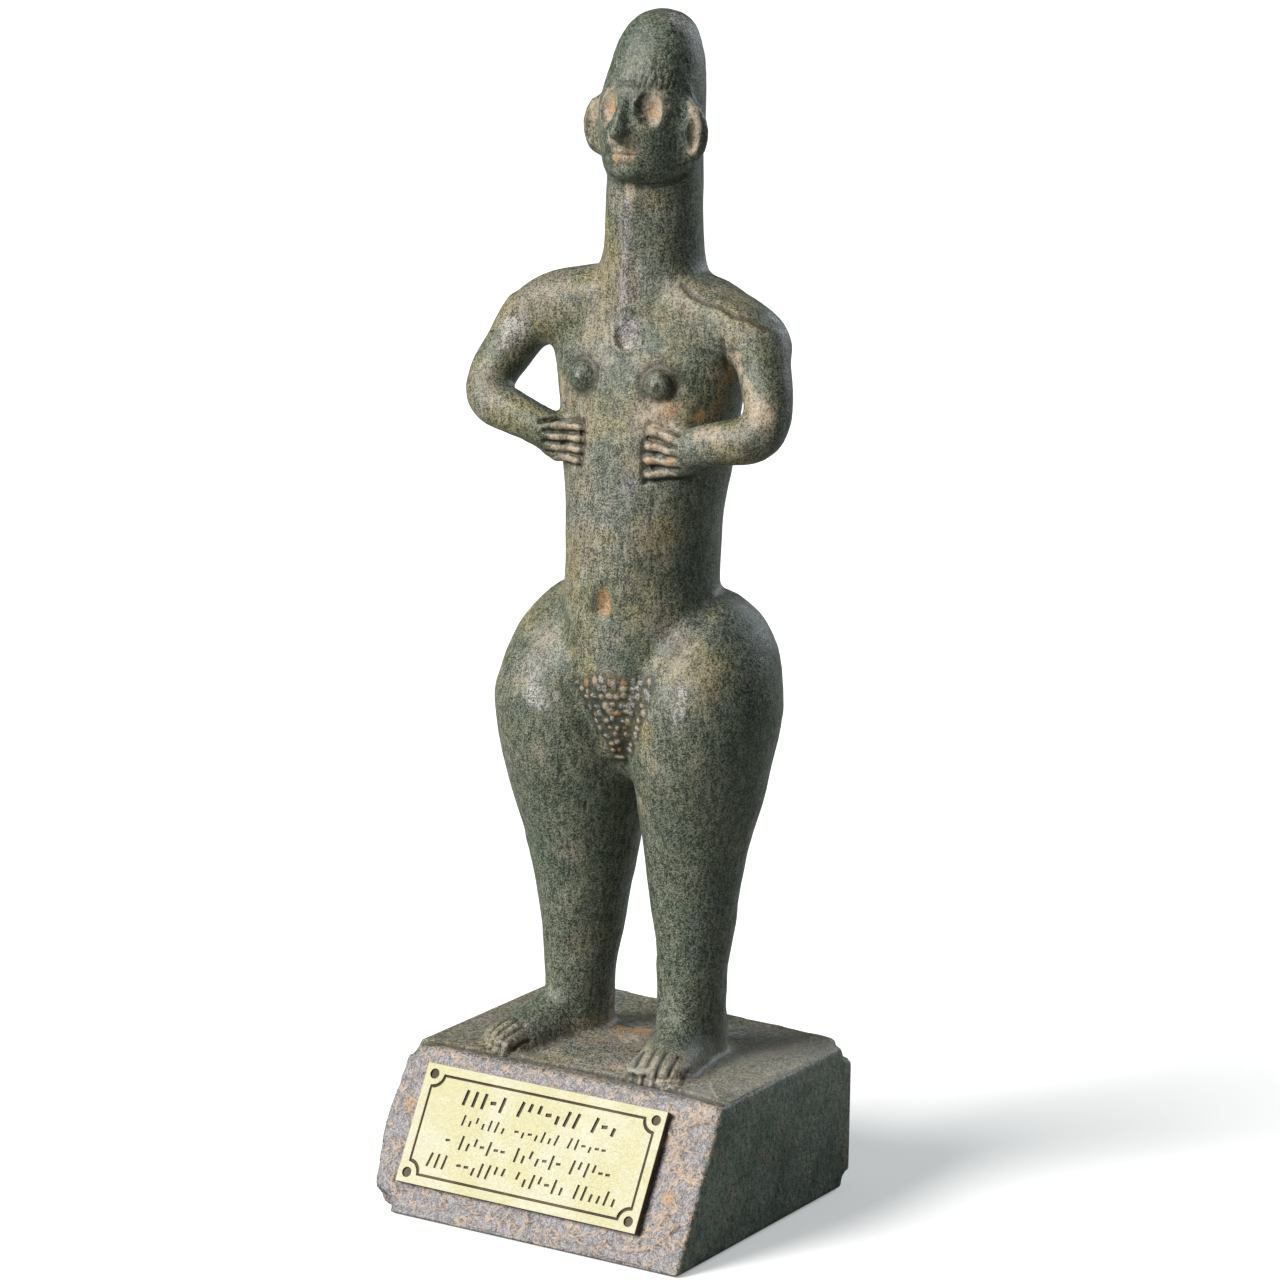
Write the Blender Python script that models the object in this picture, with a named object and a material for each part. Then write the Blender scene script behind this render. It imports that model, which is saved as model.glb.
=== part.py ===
"""Souvenir copy of an ancient idol figure, cast in one with its block, and the engraved plate glued to it.

Blender 4.5, metres, +Z up. The figure looks along -Y. The origin is the middle of the block's underside.
"""
import math

import bmesh
import bpy
from mathutils import Matrix, Vector
from mathutils.bvhtree import BVHTree

# Driving dimensions of the block, in metres
BLOCK_WIDTH = 0.1022
BLOCK_HEIGHT = 0.0432
BLOCK_TOP_DEPTH = 0.0745
BLOCK_FRONT_SLOPE = 0.0238      # how far the foot of the front stands before its top edge
BLOCK_BULGE = 0.0038            # how far its left side swells at half height
BLOCK_TOP_SPREAD = 0.0018       # how much wider its top is on the left than its foot
BLOCK_BACK_LEFT = 0.0046        # how far its back edge stands back at the left end
BLOCK_BACK_RIGHT = 0.0022       # and how far forward at the right end
BLOCK_EDGE = 0.0008             # worn round along every edge
GROOVE_WIDTH = 0.0012           # the line cut along the top, behind the front edge
GROOVE_DEPTH = 0.0007
GROOVE_MARGIN = 0.0042

# Driving dimensions of the plate
PLATE_THICKNESS = 0.0020
PLATE_LEFT_MARGIN = 0.0069      # from the block's sides, and from the ends of its sloping front
PLATE_RIGHT_MARGIN = 0.0153
PLATE_TOP_MARGIN = 0.0049
PLATE_BOTTOM_MARGIN = 0.0094
GLUE_GAP = 0.0003
ENGRAVING_DEPTH = 0.0005
BORDER_INSET = 0.0030
BORDER_LINE = 0.0007
CORNER_RADIUS = 0.0036
DOT_RADIUS = 0.0015
STROKE_WIDTH = 0.0007
STROKE_ROWS = 4

# Driving dimension of the figure. Its pose and proportions are shares of its height: they are written
# in modules, and the figure is 295 modules tall.
FIGURE_HEIGHT = 0.2950
MODULES = 295
MODULE = FIGURE_HEIGHT / MODULES
BLEND_CELL = 1.7                # size of the cells that fuse the body's forms, in modules
BODY_TRIANGLES = 5300

# Worked out from the driving dimensions
BLOCK_DEPTH = BLOCK_TOP_DEPTH + BLOCK_FRONT_SLOPE
BACK = BLOCK_DEPTH / 2
TOP_FRONT = BACK - BLOCK_TOP_DEPTH
FIGURE_PLACE = Vector((0.0, (BACK + TOP_FRONT) / 2, BLOCK_HEIGHT))
SLOPE_LENGTH = math.hypot(BLOCK_HEIGHT, BLOCK_FRONT_SLOPE)
SLOPE_ANGLE = math.atan2(BLOCK_HEIGHT, BLOCK_FRONT_SLOPE)
PLATE_WIDTH = BLOCK_WIDTH - PLATE_LEFT_MARGIN - PLATE_RIGHT_MARGIN
PLATE_HEIGHT = SLOPE_LENGTH - PLATE_TOP_MARGIN - PLATE_BOTTOM_MARGIN

# The trunk: height, half-width, half-depth and the middle's place from back to front
TRUNK = [
    (86, 3.8, 7.0, -8.2),
    (90, 7.4, 11.0, -6.6),
    (97, 13.0, 15.8, -4.6),
    (106, 19.6, 19.6, -3.0),
    (118, 22.4, 21.0, -2.2),
    (132, 22.5, 20.5, -2.0),
    (142, 22.2, 20.8, -1.6),
    (153, 22.6, 20.8, -0.9),
    (164, 23.8, 20.5, 0.0),
    (176, 26.1, 20.2, 0.8),
    (188, 28.0, 18.8, 1.2),
    (198, 30, 17.3, 1.5),
    (205, 33, 15, 1.6),
    (212, 36, 13, 1.4),
    (218, 31, 11.4, 1.4),
    (222.5, 19, 10, 1.4),
]
RIGHT_SHOULDER_LIFT = 1.7       # how much higher the top of the right shoulder stands than the left one's
RIGHT_SHOULDER_TOP = 32         # and how far out
# The shoulders, from the breastbone out: place, middle from back to front, middle in height, half-depth
# and half-height
SHOULDERS = [
    (0, 1.2, 212.5, 12.3, 11.6),
    (17, 0.9, 212.5, 12.0, 11.3),
    (28, 0.0, 210.3, 11.2, 9.8),
    (37, -0.9, 207.6, 10.0, 8.8),
    (42.5, -1.5, 205.2, 7.6, 6.8),
    (44.6, -1.7, 204.4, 4.0, 3.8),
]
# Neck and head: height, half-width, half-depth and middle
NECK = [
    (213, 19, 14, 1.6),
    (222, 16.6, 13.8, 1.8),
    (229, 14.3, 13.5, 2.0),
    (242, 13.5, 13.4, 2.1),
    (256, 13.2, 13.3, 2.1),
]
HEAD = [
    (247.6, 7, 8.5, 1.6),
    (249.2, 10.2, 12.6, 0.9),
    (252, 12.0, 14.4, 0.4),
    (257, 13.1, 15.4, 0.1),
    (263, 13.9, 16.0, -0.1),
    (269, 14.0, 15.7, 0.2),
    (275, 13.4, 14.7, 1.7),
    (281, 12.7, 13.4, 3.2),
    (287, 11.1, 11.5, 4.5),
    (291.5, 8.8, 9.1, 5.3),
    (294.2, 5.6, 5.8, 5.6),
    (295.4, 2.2, 2.2, 5.7),
]
CHIN_HEIGHT = 249
EYE_HEIGHT = (CHIN_HEIGHT + MODULES) / 2 - 1.8
MOUTH_HEIGHT = 257.2
EAR_HEIGHT = 263.0
# One leg, from the sole up: height, place of its middle out and back, half-width and half-depth
LEG = [
    (-3, 18.3, 0.0, 10, 11.5),
    (4, 18.3, 0.0, 9.9, 11.5),
    (12, 18.3, -0.5, 9.8, 10.7),
    (20, 18.5, -0.8, 10.1, 10.5),
    (30, 18.4, -0.8, 11.2, 11.3),
    (43, 18.5, -0.9, 13.0, 13.1),
    (58, 18.7, -1.0, 15.4, 15.6),
    (71, 19.8, -1.3, 18.1, 18.4),
    (85, 20.3, -1.7, 20.7, 21.6),
    (99, 21.2, -1.3, 22.5, 23.5),
    (108, 20.8, -0.4, 22.1, 23.2),
    (118, 20.1, 1.4, 19.7, 21.4),
    (126.4, 19.0, 2.9, 15.7, 17.0),
    (132.4, 18, 3.5, 9.7, 10.2),
    (134.8, 17.5, 3.6, 3, 3),
]
# How much thicker the right leg is than the mean of the two, and the left thinner, at most, between the
# ankle and the widest place of the thigh
LEG_GIRTH = 0.065
GIRTH_FROM, GIRTH_TO = 14, 112
# How far the right (-1) and the left sole stand out from the line of the leg, and from what height down
SOLE_OUT = {-1: 1.9, 1: -0.5}
SOLE_FROM = 30
# One foot, from heel to toes: place along it, half-width and height
FOOT = [
    (-10.5, 4.5, 7),
    (-7, 8, 12),
    (0, 9.7, 17),
    (8, 9.2, 15),
    (15, 9.2, 10.5),
    (22, 9.5, 7.6),
    (27, 8.6, 5.6),
    (29, 6.5, 4.2),
]
ANKLE = (18.3, -0.5)
SPLAY = {-1: 23, 1: 10}         # degrees that the right (-1) and the left foot turn out
TOES = 5
TOE_PITCH = 3.6
TOE_LENGTH = 8.0
TOE_RADIUS = 1.65
# The right (-1) and the left arm, from the shoulder to the palm: place out, back and up, and radius
ARM = {
    -1: [
        (36.4, -1.5, 208.8, 8.8),
        (42.0, -5.4, 199.0, 7.6),
        (45.3, -10.8, 188.8, 6.9),
        (43.1, -13.4, 184.7, 6.7),
        (35.0, -15.0, 182.1, 6.3),
        (26.5, -15.2, 179.4, 5.8),
        (21.0, -15.2, 177.2, 5.2),
    ],
    1: [
        (36.0, -1.5, 208.6, 8.8),
        (41.0, -5.4, 198.6, 7.4),
        (44.8, -10.8, 187.8, 6.6),
        (43.4, -13.4, 183.2, 6.6),
        (35.5, -15.0, 181.0, 6.3),
        (26.5, -15.2, 178.9, 5.7),
        (21.0, -15.2, 177.0, 5.2),
    ],
}
FINGERS = 4
FINGER_PITCH = 3.1
FINGER_REACH = 11.2             # how far in the fingers run
FINGER_RADIUS = 1.4
FINGER_SUNK = 0.8               # how deep a finger's middle lies under the skin at its knuckle
# Fingers and toes are blunt bars: shares of the length, and of the radius there
BAR_GIRTHS = ((0.0, 0.55), (0.10, 0.92), (0.37, 1.0), (0.64, 1.0), (0.90, 0.92), (1.0, 0.55))
KNUCKLES = 21.5                 # how far out the fingers start
HAND_HEIGHT = 175.8
HAND_TURN = 24                  # degrees that the palm follows the round of the ribs
FINGER_FAN = {-1: 0, 1: 5}      # degrees between a finger and the next


def clear_scene():
    """Empties the scene."""
    for thing in list(bpy.data.objects):
        bpy.data.objects.remove(thing, do_unlink=True)


def material(name, colour, roughness, metallic):
    """A plain Principled finish."""
    made = bpy.data.materials.new(name)
    made.use_nodes = True
    shader = made.node_tree.nodes["Principled BSDF"]
    shader.inputs["Base Color"].default_value = (*colour, 1.0)
    shader.inputs["Roughness"].default_value = roughness
    shader.inputs["Metallic"].default_value = metallic
    return made


def thing_of(name, mesh):
    """An object of the mesh, in the scene."""
    made = bpy.data.objects.new(name, mesh)
    bpy.context.scene.collection.objects.link(made)
    return made


def drop(thing):
    """Takes an object out of the file."""
    bpy.data.objects.remove(thing, do_unlink=True)


def settle(thing):
    """Turns an object with its modifiers, or a curve, into a plain mesh object of the same name."""
    graph = bpy.context.evaluated_depsgraph_get()
    graph.update()
    mesh = bpy.data.meshes.new_from_object(thing.evaluated_get(graph))
    mesh.transform(thing.matrix_world)
    name = thing.name
    drop(thing)
    return thing_of(name, mesh)


def join(name, things):
    """One object of several, whose bodies stay as they are."""
    bm = bmesh.new()
    for thing in things:
        thing.data.transform(thing.matrix_world)
        bm.from_mesh(thing.data)
        drop(thing)
    mesh = bpy.data.meshes.new(name)
    bm.to_mesh(mesh)
    bm.free()
    return thing_of(name, mesh)


def combine(thing, operation, tool):
    """The object after a Boolean with the tool, which is used up."""
    cut = thing.modifiers.new(operation.title(), "BOOLEAN")
    cut.operation = operation
    cut.solver = "EXACT"
    cut.object = tool
    tool.hide_render = True
    tool.display_type = "WIRE"
    made = settle(thing)
    drop(tool)
    return made


def through(rows, parts):
    """Rows of numbers on a smooth curve through the given rows, with so many steps between two."""
    ends = [rows[0], *rows, rows[-1]]
    made = []
    for before, here, there, after in zip(ends, ends[1:], ends[2:], ends[3:]):
        for step in range(parts):
            t = step / parts
            made.append([
                0.5 * (2 * b + (c - a) * t + (2 * a - 5 * b + 4 * c - d) * t * t
                       + (3 * b - a - 3 * c + d) * t ** 3)
                for a, b, c, d in zip(before, here, there, after)
            ])
    made.append(list(rows[-1]))
    return made


def oval(half_across, half_along, squareness=2.0, sides=40):
    """Points of an oval round the origin; over 2, squareness fills its corners."""
    made = []
    for step in range(sides):
        turn = math.tau * step / sides
        across, along = math.cos(turn), math.sin(turn)
        made.append((
            half_across * math.copysign(abs(across) ** (2 / squareness), across),
            half_along * math.copysign(abs(along) ** (2 / squareness), along),
        ))
    return made


def loft(name, rings):
    """A closed body through rings of points, in metres."""
    bm = bmesh.new()
    loops = []
    for ring in rings:
        verts = [bm.verts.new(point) for point in ring]
        loops.append((verts, [bm.edges.new(pair) for pair in zip(verts, verts[1:] + verts[:1])]))
    for (_, low), (_, high) in zip(loops, loops[1:]):
        bmesh.ops.bridge_loops(bm, edges=low + high)
    for verts, _ in (loops[0], loops[-1]):
        bm.faces.new(verts)
    bmesh.ops.recalc_face_normals(bm, faces=bm.faces)
    mesh = bpy.data.meshes.new(name)
    bm.to_mesh(mesh)
    bm.free()
    return thing_of(name, mesh)


def at(x, y, z):
    """A place on the figure, from modules out, back and up."""
    return FIGURE_PLACE + Vector((x, y, z)) * MODULE


def upright(name, rows, squareness=2.0):
    """A body lofted upwards from rows of height, middle out, middle back, half-width and half-depth."""
    rings = []
    for height, out, back, half_width, half_depth in through(rows, 4):
        rings.append([at(out + x, back + y, height) for x, y in oval(half_width, half_depth, squareness)])
    return loft(name, rings)


def centred(rows):
    """Rows of height, half-width, half-depth and middle, as upright() takes them, on the mid plane."""
    return [(height, 0.0, middle, half_width, half_depth) for height, half_width, half_depth, middle in rows]


def ball(name, middle, size, turn=(0.0, 0.0, 0.0), segments=16, rings=10):
    """An egg of half-sizes in modules at a place on the figure, turned by degrees."""
    bm = bmesh.new()
    bmesh.ops.create_uvsphere(bm, u_segments=segments, v_segments=rings, radius=MODULE)
    mesh = bpy.data.meshes.new(name)
    bm.to_mesh(mesh)
    bm.free()
    spin = Matrix.Rotation(math.radians(turn[2]), 4, "Z") @ Matrix.Rotation(math.radians(turn[1]), 4, "Y")
    spin = spin @ Matrix.Rotation(math.radians(turn[0]), 4, "X")
    mesh.transform(Matrix.Translation(at(*middle)) @ spin @ Matrix.Diagonal((*size, 1.0)))
    return thing_of(name, mesh)


def shoulders():
    """The square yoke of the shoulders, lofted from one arm to the other."""
    half = through(SHOULDERS, 3)
    rows = [[-out, *rest] for out, *rest in reversed(half[1:])] + half
    rings = []
    for out, back, height, half_depth, half_height in rows:
        fade = abs(out + RIGHT_SHOULDER_TOP) / (SHOULDERS[-1][0] - RIGHT_SHOULDER_TOP)
        lift = RIGHT_SHOULDER_LIFT * max(0.0, 1 - fade) / 2
        ring = oval(half_depth, half_height + lift, 2.5)
        rings.append([at(out, back + y, height + lift + z) for y, z in ring])
    return loft("shoulders", rings)


def arm(side):
    """One arm down to the palm: a tube that swells at the elbow."""
    curve = bpy.data.curves.new("arm", "CURVE")
    curve.dimensions = "3D"
    curve.bevel_depth = MODULE
    curve.bevel_resolution = 6
    curve.use_fill_caps = True
    spline = curve.splines.new("POLY")
    route = through(ARM[side], 4)
    spline.points.add(len(route) - 1)
    for point, (out, back, height, radius) in zip(spline.points, route):
        point.co = (*at(side * out, back, height), 1.0)
        point.radius = radius
    return settle(thing_of("arm", curve))


def rod(name, start, end, radius, sides=8):
    """A blunt round bar between two places on the figure, in modules."""
    axis = Vector(end) - Vector(start)
    turn = axis.to_track_quat("Z", "Y")
    rings = []
    for share, girth in BAR_GIRTHS:
        middle = Vector(start) + axis * share
        ring = oval(radius * girth, radius * girth, sides=sides)
        rings.append([at(*(middle + turn @ Vector((x, y, 0)))) for x, y in ring])
    return loft(name, rings)


def leg(side):
    """One leg, lofted from the sole to the top of its thigh."""
    rows = []
    for height, out, back, half_width, half_depth in LEG:
        share = min(1.0, max(0.0, (height - GIRTH_FROM) / (GIRTH_TO - GIRTH_FROM)))
        girth = 1 - side * LEG_GIRTH * math.sin(math.pi * share) ** 0.5
        stand = out + SOLE_OUT[side] * min(1.0, max(0.0, 1 - height / SOLE_FROM))
        rows.append((height, side * stand, back, half_width * girth, half_depth * girth))
    return upright("leg", rows)


def foot_axes(side):
    """Ankle, forward and outward directions of one foot, seen from above."""
    turn = math.radians(SPLAY[side])
    forward = Vector((side * math.sin(turn), -math.cos(turn)))
    outward = Vector((side * math.cos(turn), math.sin(turn)))
    return Vector((side * (ANKLE[0] + SOLE_OUT[side]), ANKLE[1])), forward, outward


def foot(side):
    """One foot without its toes, lofted from the heel forward, its lower half sunk in the block."""
    ankle, forward, across = foot_axes(side)
    rings = []
    for place, half_width, height in through(FOOT, 4):
        middle = ankle + forward * place
        rings.append([at(*(middle + across * x), z) for x, z in oval(half_width, height, sides=28)])
    return loft("foot", rings)


def body():
    """The figure without its small carving: round forms fused into one skin."""
    forms = [
        upright("trunk", centred(TRUNK)),
        upright("neck", centred(NECK)),
        upright("head", centred(HEAD), 2.15),
        ball("chin", (0, -12.6, 253.2), (5.2, 3.4, 3.6)),
        ball("crotch", (0, -2.5, 87.5), (4.8, 11.5, 10.0)),
        shoulders(),
    ]
    for side in (-1, 1):
        forms += [
            leg(side),
            foot(side),
            arm(side),
            ball("palm", (side * 21.5, -14.6, 176.6), (6.6, 3.8, 6.5), (0, 0, side * HAND_TURN)),
            ball("ear", (side * 14.4, -3.9, EAR_HEIGHT), (6.1, 3.0, 8.8), (0, 0, side * 12)),
        ]
    fused = join("body", forms)
    skin = fused.modifiers.new("Skin", "REMESH")
    skin.mode = "VOXEL"
    skin.voxel_size = BLEND_CELL * MODULE
    skin.adaptivity = 0.0
    soften = fused.modifiers.new("Soften", "SMOOTH")
    soften.factor = 0.5
    soften.iterations = 5
    fused = settle(fused)
    thin = fused.modifiers.new("Thin", "DECIMATE")
    thin.ratio = min(1.0, BODY_TRIANGLES / (2 * len(fused.data.polygons)))
    thin.use_collapse_triangulate = True
    return settle(fused)


def skin_finder(thing):
    """A function that tells how far back the front of the body lies, in modules, at a place out and up."""
    bm = bmesh.new()
    bm.from_mesh(thing.data)
    tree = BVHTree.FromBMesh(bm)
    bm.free()

    def front(out, height):
        hit = tree.ray_cast(at(out, -MODULES, height), Vector((0, 1, 0)))[0]
        return (hit.y - FIGURE_PLACE.y) / MODULE

    return front


def nose(front):
    """A long wedge from the brow to the tip, wider and prouder at its foot."""
    rows = [(273.2, 0.6, 1.2, 1.6), (269, -0.4, 1.7, 2.4), (264, -1.4, 2.4, 3.2), (262.2, -1.4, 2.7, 3.2),
            (261.2, -0.2, 1.9, 2.2)]
    rings = []
    for height, proud, half, deep in rows:
        rings.append([at(x, front(0, height) + proud + y, height) for x, y in oval(half, deep, 1.6, 10)])
    return loft("nose", rings)


def fingers(side, front):
    """The flat hand's fingers, side by side, each lying along the ribs with half of it sunk in."""
    made = []
    for finger in range(FINGERS):
        row = (FINGERS - 1) / 2 - finger
        reach = FINGER_REACH - 0.5 * abs(row)
        slope = math.tan(math.radians(FINGER_FAN[side])) * row
        rings = []
        for share, girth in BAR_GIRTHS:
            out = side * (KNUCKLES - reach * share)
            height = HAND_HEIGHT + row * FINGER_PITCH + slope * reach * share
            middle = front(out, height) + FINGER_SUNK * (1 - 1.5 * share)
            half = FINGER_RADIUS * girth
            rings.append([at(out, middle + y, height + z) for y, z in oval(half, half, sides=8)])
        made.append(loft("finger", rings))
    return made


def toes(side):
    """The toes of one foot, side by side."""
    ankle, forward, outward = foot_axes(side)
    made = []
    for toe in range(TOES):
        row = toe - (TOES - 1) / 2
        tip = 31.4 - 0.8 * row - 0.45 * row * row
        start = ankle + forward * (tip - TOE_LENGTH) + outward * row * TOE_PITCH * 0.9
        end = ankle + forward * tip + outward * row * TOE_PITCH
        made.append(rod("toe", (*start, 4.4), (*end, 1.6), TOE_RADIUS))
    return made


def seated(name, front, out, height, sunk_by, size, turn=0.0, segments=14, rings=8):
    """An egg whose middle lies so deep under the front of the body at a place out and up."""
    return ball(name, (out, front(out, height) + sunk_by, height), size, (0, 0, turn), segments, rings)


def raised(front):
    """The small raised carving: nose, lips, nipples, fingers and toes."""
    made = [nose(front), seated("lips", front, 0, MOUTH_HEIGHT, 0.9, (3.4, 1.9, 1.7))]
    for side in (-1, 1):
        made.append(seated("nipple", front, side * 12.2, 194.6, 0.3, (4.1, 3.0, 4.1)))
        made += fingers(side, front) + toes(side)
    return join("raised", made)


def sunk(front):
    """The small sunk carving: eye sockets, mouth, ear hollows, navel and the pit at the breastbone."""
    made = [
        seated("mouth", front, 0, MOUTH_HEIGHT, -0.8, (3.6, 1.6, 0.55)),
        seated("navel", front, 0, 132.6, 0.0, (2.5, 2.2, 2.9)),
        seated("pit", front, 0.8, 207.0, -0.5, (3.6, 1.7, 3.6)),
    ]
    for side in (-1, 1):
        made.append(seated("socket", front, side * 6.5, EYE_HEIGHT, 0.2, (3.3, 2.5, 4.7), side * 20))
        hollow = (side * 17.2, -6.9, EAR_HEIGHT)
        made.append(ball("ear hollow", hollow, (1.6, 2.0, 5.8), (0, 0, side * 12), 12, 10))
    return join("sunk", made)


def solid_block():
    """The block with a sloping front, its worn edges and the low mound that the feet stand in."""
    half = BLOCK_WIDTH / 2
    rings = []
    for share, bulge in ((0.0, 0.0), (0.5, BLOCK_BULGE), (1.0, BLOCK_TOP_SPREAD)):
        front = TOP_FRONT - BLOCK_FRONT_SLOPE * (1 - share)
        left, right = -half - bulge, half
        back_right, back_left = BACK - BLOCK_BACK_RIGHT, BACK + BLOCK_BACK_LEFT
        corners = ((left, front), (right, front), (right, back_right), (left, back_left))
        rings.append([(x, y, BLOCK_HEIGHT * share) for x, y in corners])
    block = loft("block", rings)
    worn = block.modifiers.new("Worn", "BEVEL")
    worn.width = BLOCK_EDGE
    worn.segments = 2
    worn.limit_method = "ANGLE"
    worn.angle_limit = math.radians(20)
    block = settle(block)
    block = combine(block, "DIFFERENCE", groove())
    for place, reach, turn in chips():
        block = combine(block, "DIFFERENCE", chip(place, reach, turn))
    return combine(block, "UNION", ball("mound", (0, -3, -1.5), (34, 27, 4.4), segments=28, rings=12))


def groove():
    """The cutter of the line along the top, behind the front edge."""
    bm = bmesh.new()
    bmesh.ops.create_cube(bm, size=1.0)
    mesh = bpy.data.meshes.new("groove")
    bm.to_mesh(mesh)
    bm.free()
    place = Matrix.Translation((0, TOP_FRONT + GROOVE_MARGIN, BLOCK_HEIGHT))
    turned = Matrix.Rotation(math.radians(45), 4, "X")
    slant = GROOVE_WIDTH / math.sqrt(2)
    deep = GROOVE_DEPTH * math.sqrt(2)
    mesh.transform(place @ turned @ Matrix.Diagonal((BLOCK_WIDTH * 1.2, slant, deep, 1.0)))
    return thing_of("groove", mesh)


def chips():
    """Place on the block, size and turn of each knocked-off corner."""
    half = BLOCK_WIDTH / 2
    foot_front = TOP_FRONT - BLOCK_FRONT_SLOPE
    return [
        ((half, BACK - BLOCK_BACK_RIGHT, BLOCK_HEIGHT), 0.0070, (50, 30, 40)),
        ((half, BACK - BLOCK_BACK_RIGHT, 0.0), 0.0054, (25, 45, 35)),
        ((-half, foot_front, 0.0), 0.0082, (35, 50, 30)),
        ((-half - BLOCK_TOP_SPREAD, TOP_FRONT, BLOCK_HEIGHT), 0.0042, (40, 20, 55)),
    ]


def chip(place, reach, turn):
    """A cutter that takes a corner off."""
    bm = bmesh.new()
    bmesh.ops.create_icosphere(bm, subdivisions=1, radius=reach)
    mesh = bpy.data.meshes.new("chip")
    bm.to_mesh(mesh)
    bm.free()
    spin = Matrix.Identity(4)
    for axis, degrees in zip("XYZ", turn):
        spin = Matrix.Rotation(math.radians(degrees), 4, axis) @ spin
    mesh.transform(Matrix.Translation(place) @ spin)
    return thing_of("chip", mesh)


def statue():
    """Figure and block, cast in one."""
    made = body()
    front = skin_finder(made)
    made = combine(made, "UNION", raised(front))
    made = combine(made, "DIFFERENCE", sunk(front))
    made = combine(made, "UNION", solid_block())
    made.name = "statue"
    made.data.name = "statue"
    made.data.materials.clear()
    made.data.materials.append(material("patinated cast", (0.13, 0.14, 0.10), 0.45, 0.15))
    made.data.shade_smooth()
    made.data.set_sharp_from_angle(angle=math.radians(40))
    return made


def border():
    """The cutter of the plate's border line, whose corners bend in round the dots."""
    curve = bpy.data.curves.new("border", "CURVE")
    curve.dimensions = "3D"
    curve.bevel_depth = BORDER_LINE / math.sqrt(2)
    curve.bevel_resolution = 0
    spline = curve.splines.new("POLY")
    spline.use_cyclic_u = True
    route = []
    across, up = PLATE_WIDTH / 2 - BORDER_INSET, PLATE_HEIGHT / 2 - BORDER_INSET
    for corner, (x, y) in enumerate(((across, up), (-across, up), (-across, -up), (across, -up))):
        for step in range(7):
            turn = math.radians(-90 * (1 - corner) - 15 * step)
            route.append((x + CORNER_RADIUS * math.cos(turn), y + CORNER_RADIUS * math.sin(turn)))
    spline.points.add(len(route) - 1)
    for point, (x, y) in zip(spline.points, route):
        point.co = (x, y, PLATE_THICKNESS, 1.0)
    return settle(thing_of("border", curve))


def dots():
    """The cutters of the four round dots."""
    made = []
    for x in (-1, 1):
        for y in (-1, 1):
            bm = bmesh.new()
            bmesh.ops.create_cone(
                bm, cap_ends=True, segments=16, radius1=DOT_RADIUS, radius2=DOT_RADIUS,
                depth=2 * ENGRAVING_DEPTH,
            )
            mesh = bpy.data.meshes.new("dot")
            bm.to_mesh(mesh)
            bm.free()
            across, up = PLATE_WIDTH / 2 - BORDER_INSET, PLATE_HEIGHT / 2 - BORDER_INSET
            mesh.transform(Matrix.Translation((x * across, y * up, PLATE_THICKNESS)))
            made.append(thing_of("dot", mesh))
    return made


def strokes():
    """The cutters of the rows of short strokes that stand where an inscription would."""
    made = []
    row_pitch = (PLATE_HEIGHT - 2 * BORDER_INSET - 2 * CORNER_RADIUS) / (STROKE_ROWS - 0.6)
    for row in range(STROKE_ROWS):
        tall = row_pitch * (0.62 if row == 0 else 0.50)
        length = (PLATE_WIDTH - 2 * BORDER_INSET - 2 * CORNER_RADIUS) * (0.74, 0.70, 0.82, 0.92)[row]
        count = 11
        for step in range(count):
            if (step * 2 + row * 3) % 7 == 6:
                continue
            lean = math.radians((18, -12, 24, -20)[(step + row) % 4])
            size = tall * (1.0, 0.55, 0.8, 0.45)[(step * 3 + row) % 4]
            x = length * (step / (count - 1) - 0.5)
            y = row_pitch * ((STROKE_ROWS - 1) / 2 - row) + 0.15 * tall * ((step + row) % 3 - 1)
            bm = bmesh.new()
            bmesh.ops.create_cube(bm, size=1.0)
            mesh = bpy.data.meshes.new("stroke")
            bm.to_mesh(mesh)
            bm.free()
            place = Matrix.Translation((x, y, PLATE_THICKNESS)) @ Matrix.Rotation(lean, 4, "Z")
            mesh.transform(place @ Matrix.Diagonal((STROKE_WIDTH, size, 2 * ENGRAVING_DEPTH, 1.0)))
            made.append(thing_of("stroke", mesh))
    return made


def plaque():
    """The engraved plate, laid on the block's sloping front."""
    bm = bmesh.new()
    bmesh.ops.create_cube(bm, size=1.0)
    mesh = bpy.data.meshes.new("plaque")
    bm.to_mesh(mesh)
    bm.free()
    mesh.transform(Matrix.Diagonal((PLATE_WIDTH, PLATE_HEIGHT, PLATE_THICKNESS, 1.0)))
    mesh.transform(Matrix.Translation((0, 0, PLATE_THICKNESS / 2)))
    plate = combine(thing_of("plaque", mesh), "DIFFERENCE", border())
    plate = combine(plate, "DIFFERENCE", join("marks", dots() + strokes()))
    middle = Vector(((PLATE_LEFT_MARGIN - PLATE_RIGHT_MARGIN) / 2, TOP_FRONT, BLOCK_HEIGHT))
    down = Vector((0, -math.cos(SLOPE_ANGLE), -math.sin(SLOPE_ANGLE)))
    outward = Vector((0, -math.sin(SLOPE_ANGLE), math.cos(SLOPE_ANGLE)))
    plate.location = middle + down * (PLATE_TOP_MARGIN + PLATE_HEIGHT / 2) + outward * GLUE_GAP
    plate.rotation_euler = (SLOPE_ANGLE, 0, 0)
    plate.name = "plaque"
    plate.data.name = "plaque"
    plate.data.materials.clear()
    plate.data.materials.append(material("plate gold", (0.78, 0.66, 0.38), 0.35, 0.6))
    return plate


def main():
    """Builds the part."""
    clear_scene()
    statue()
    plaque()


main()
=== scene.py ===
"""Dressed model of a souvenir idol figure on its block, with an engraved plate glued to the block's front."""
import logging
import math
import random
from dataclasses import dataclass
from enum import Enum
from typing import Callable, Iterable, Sequence

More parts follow.
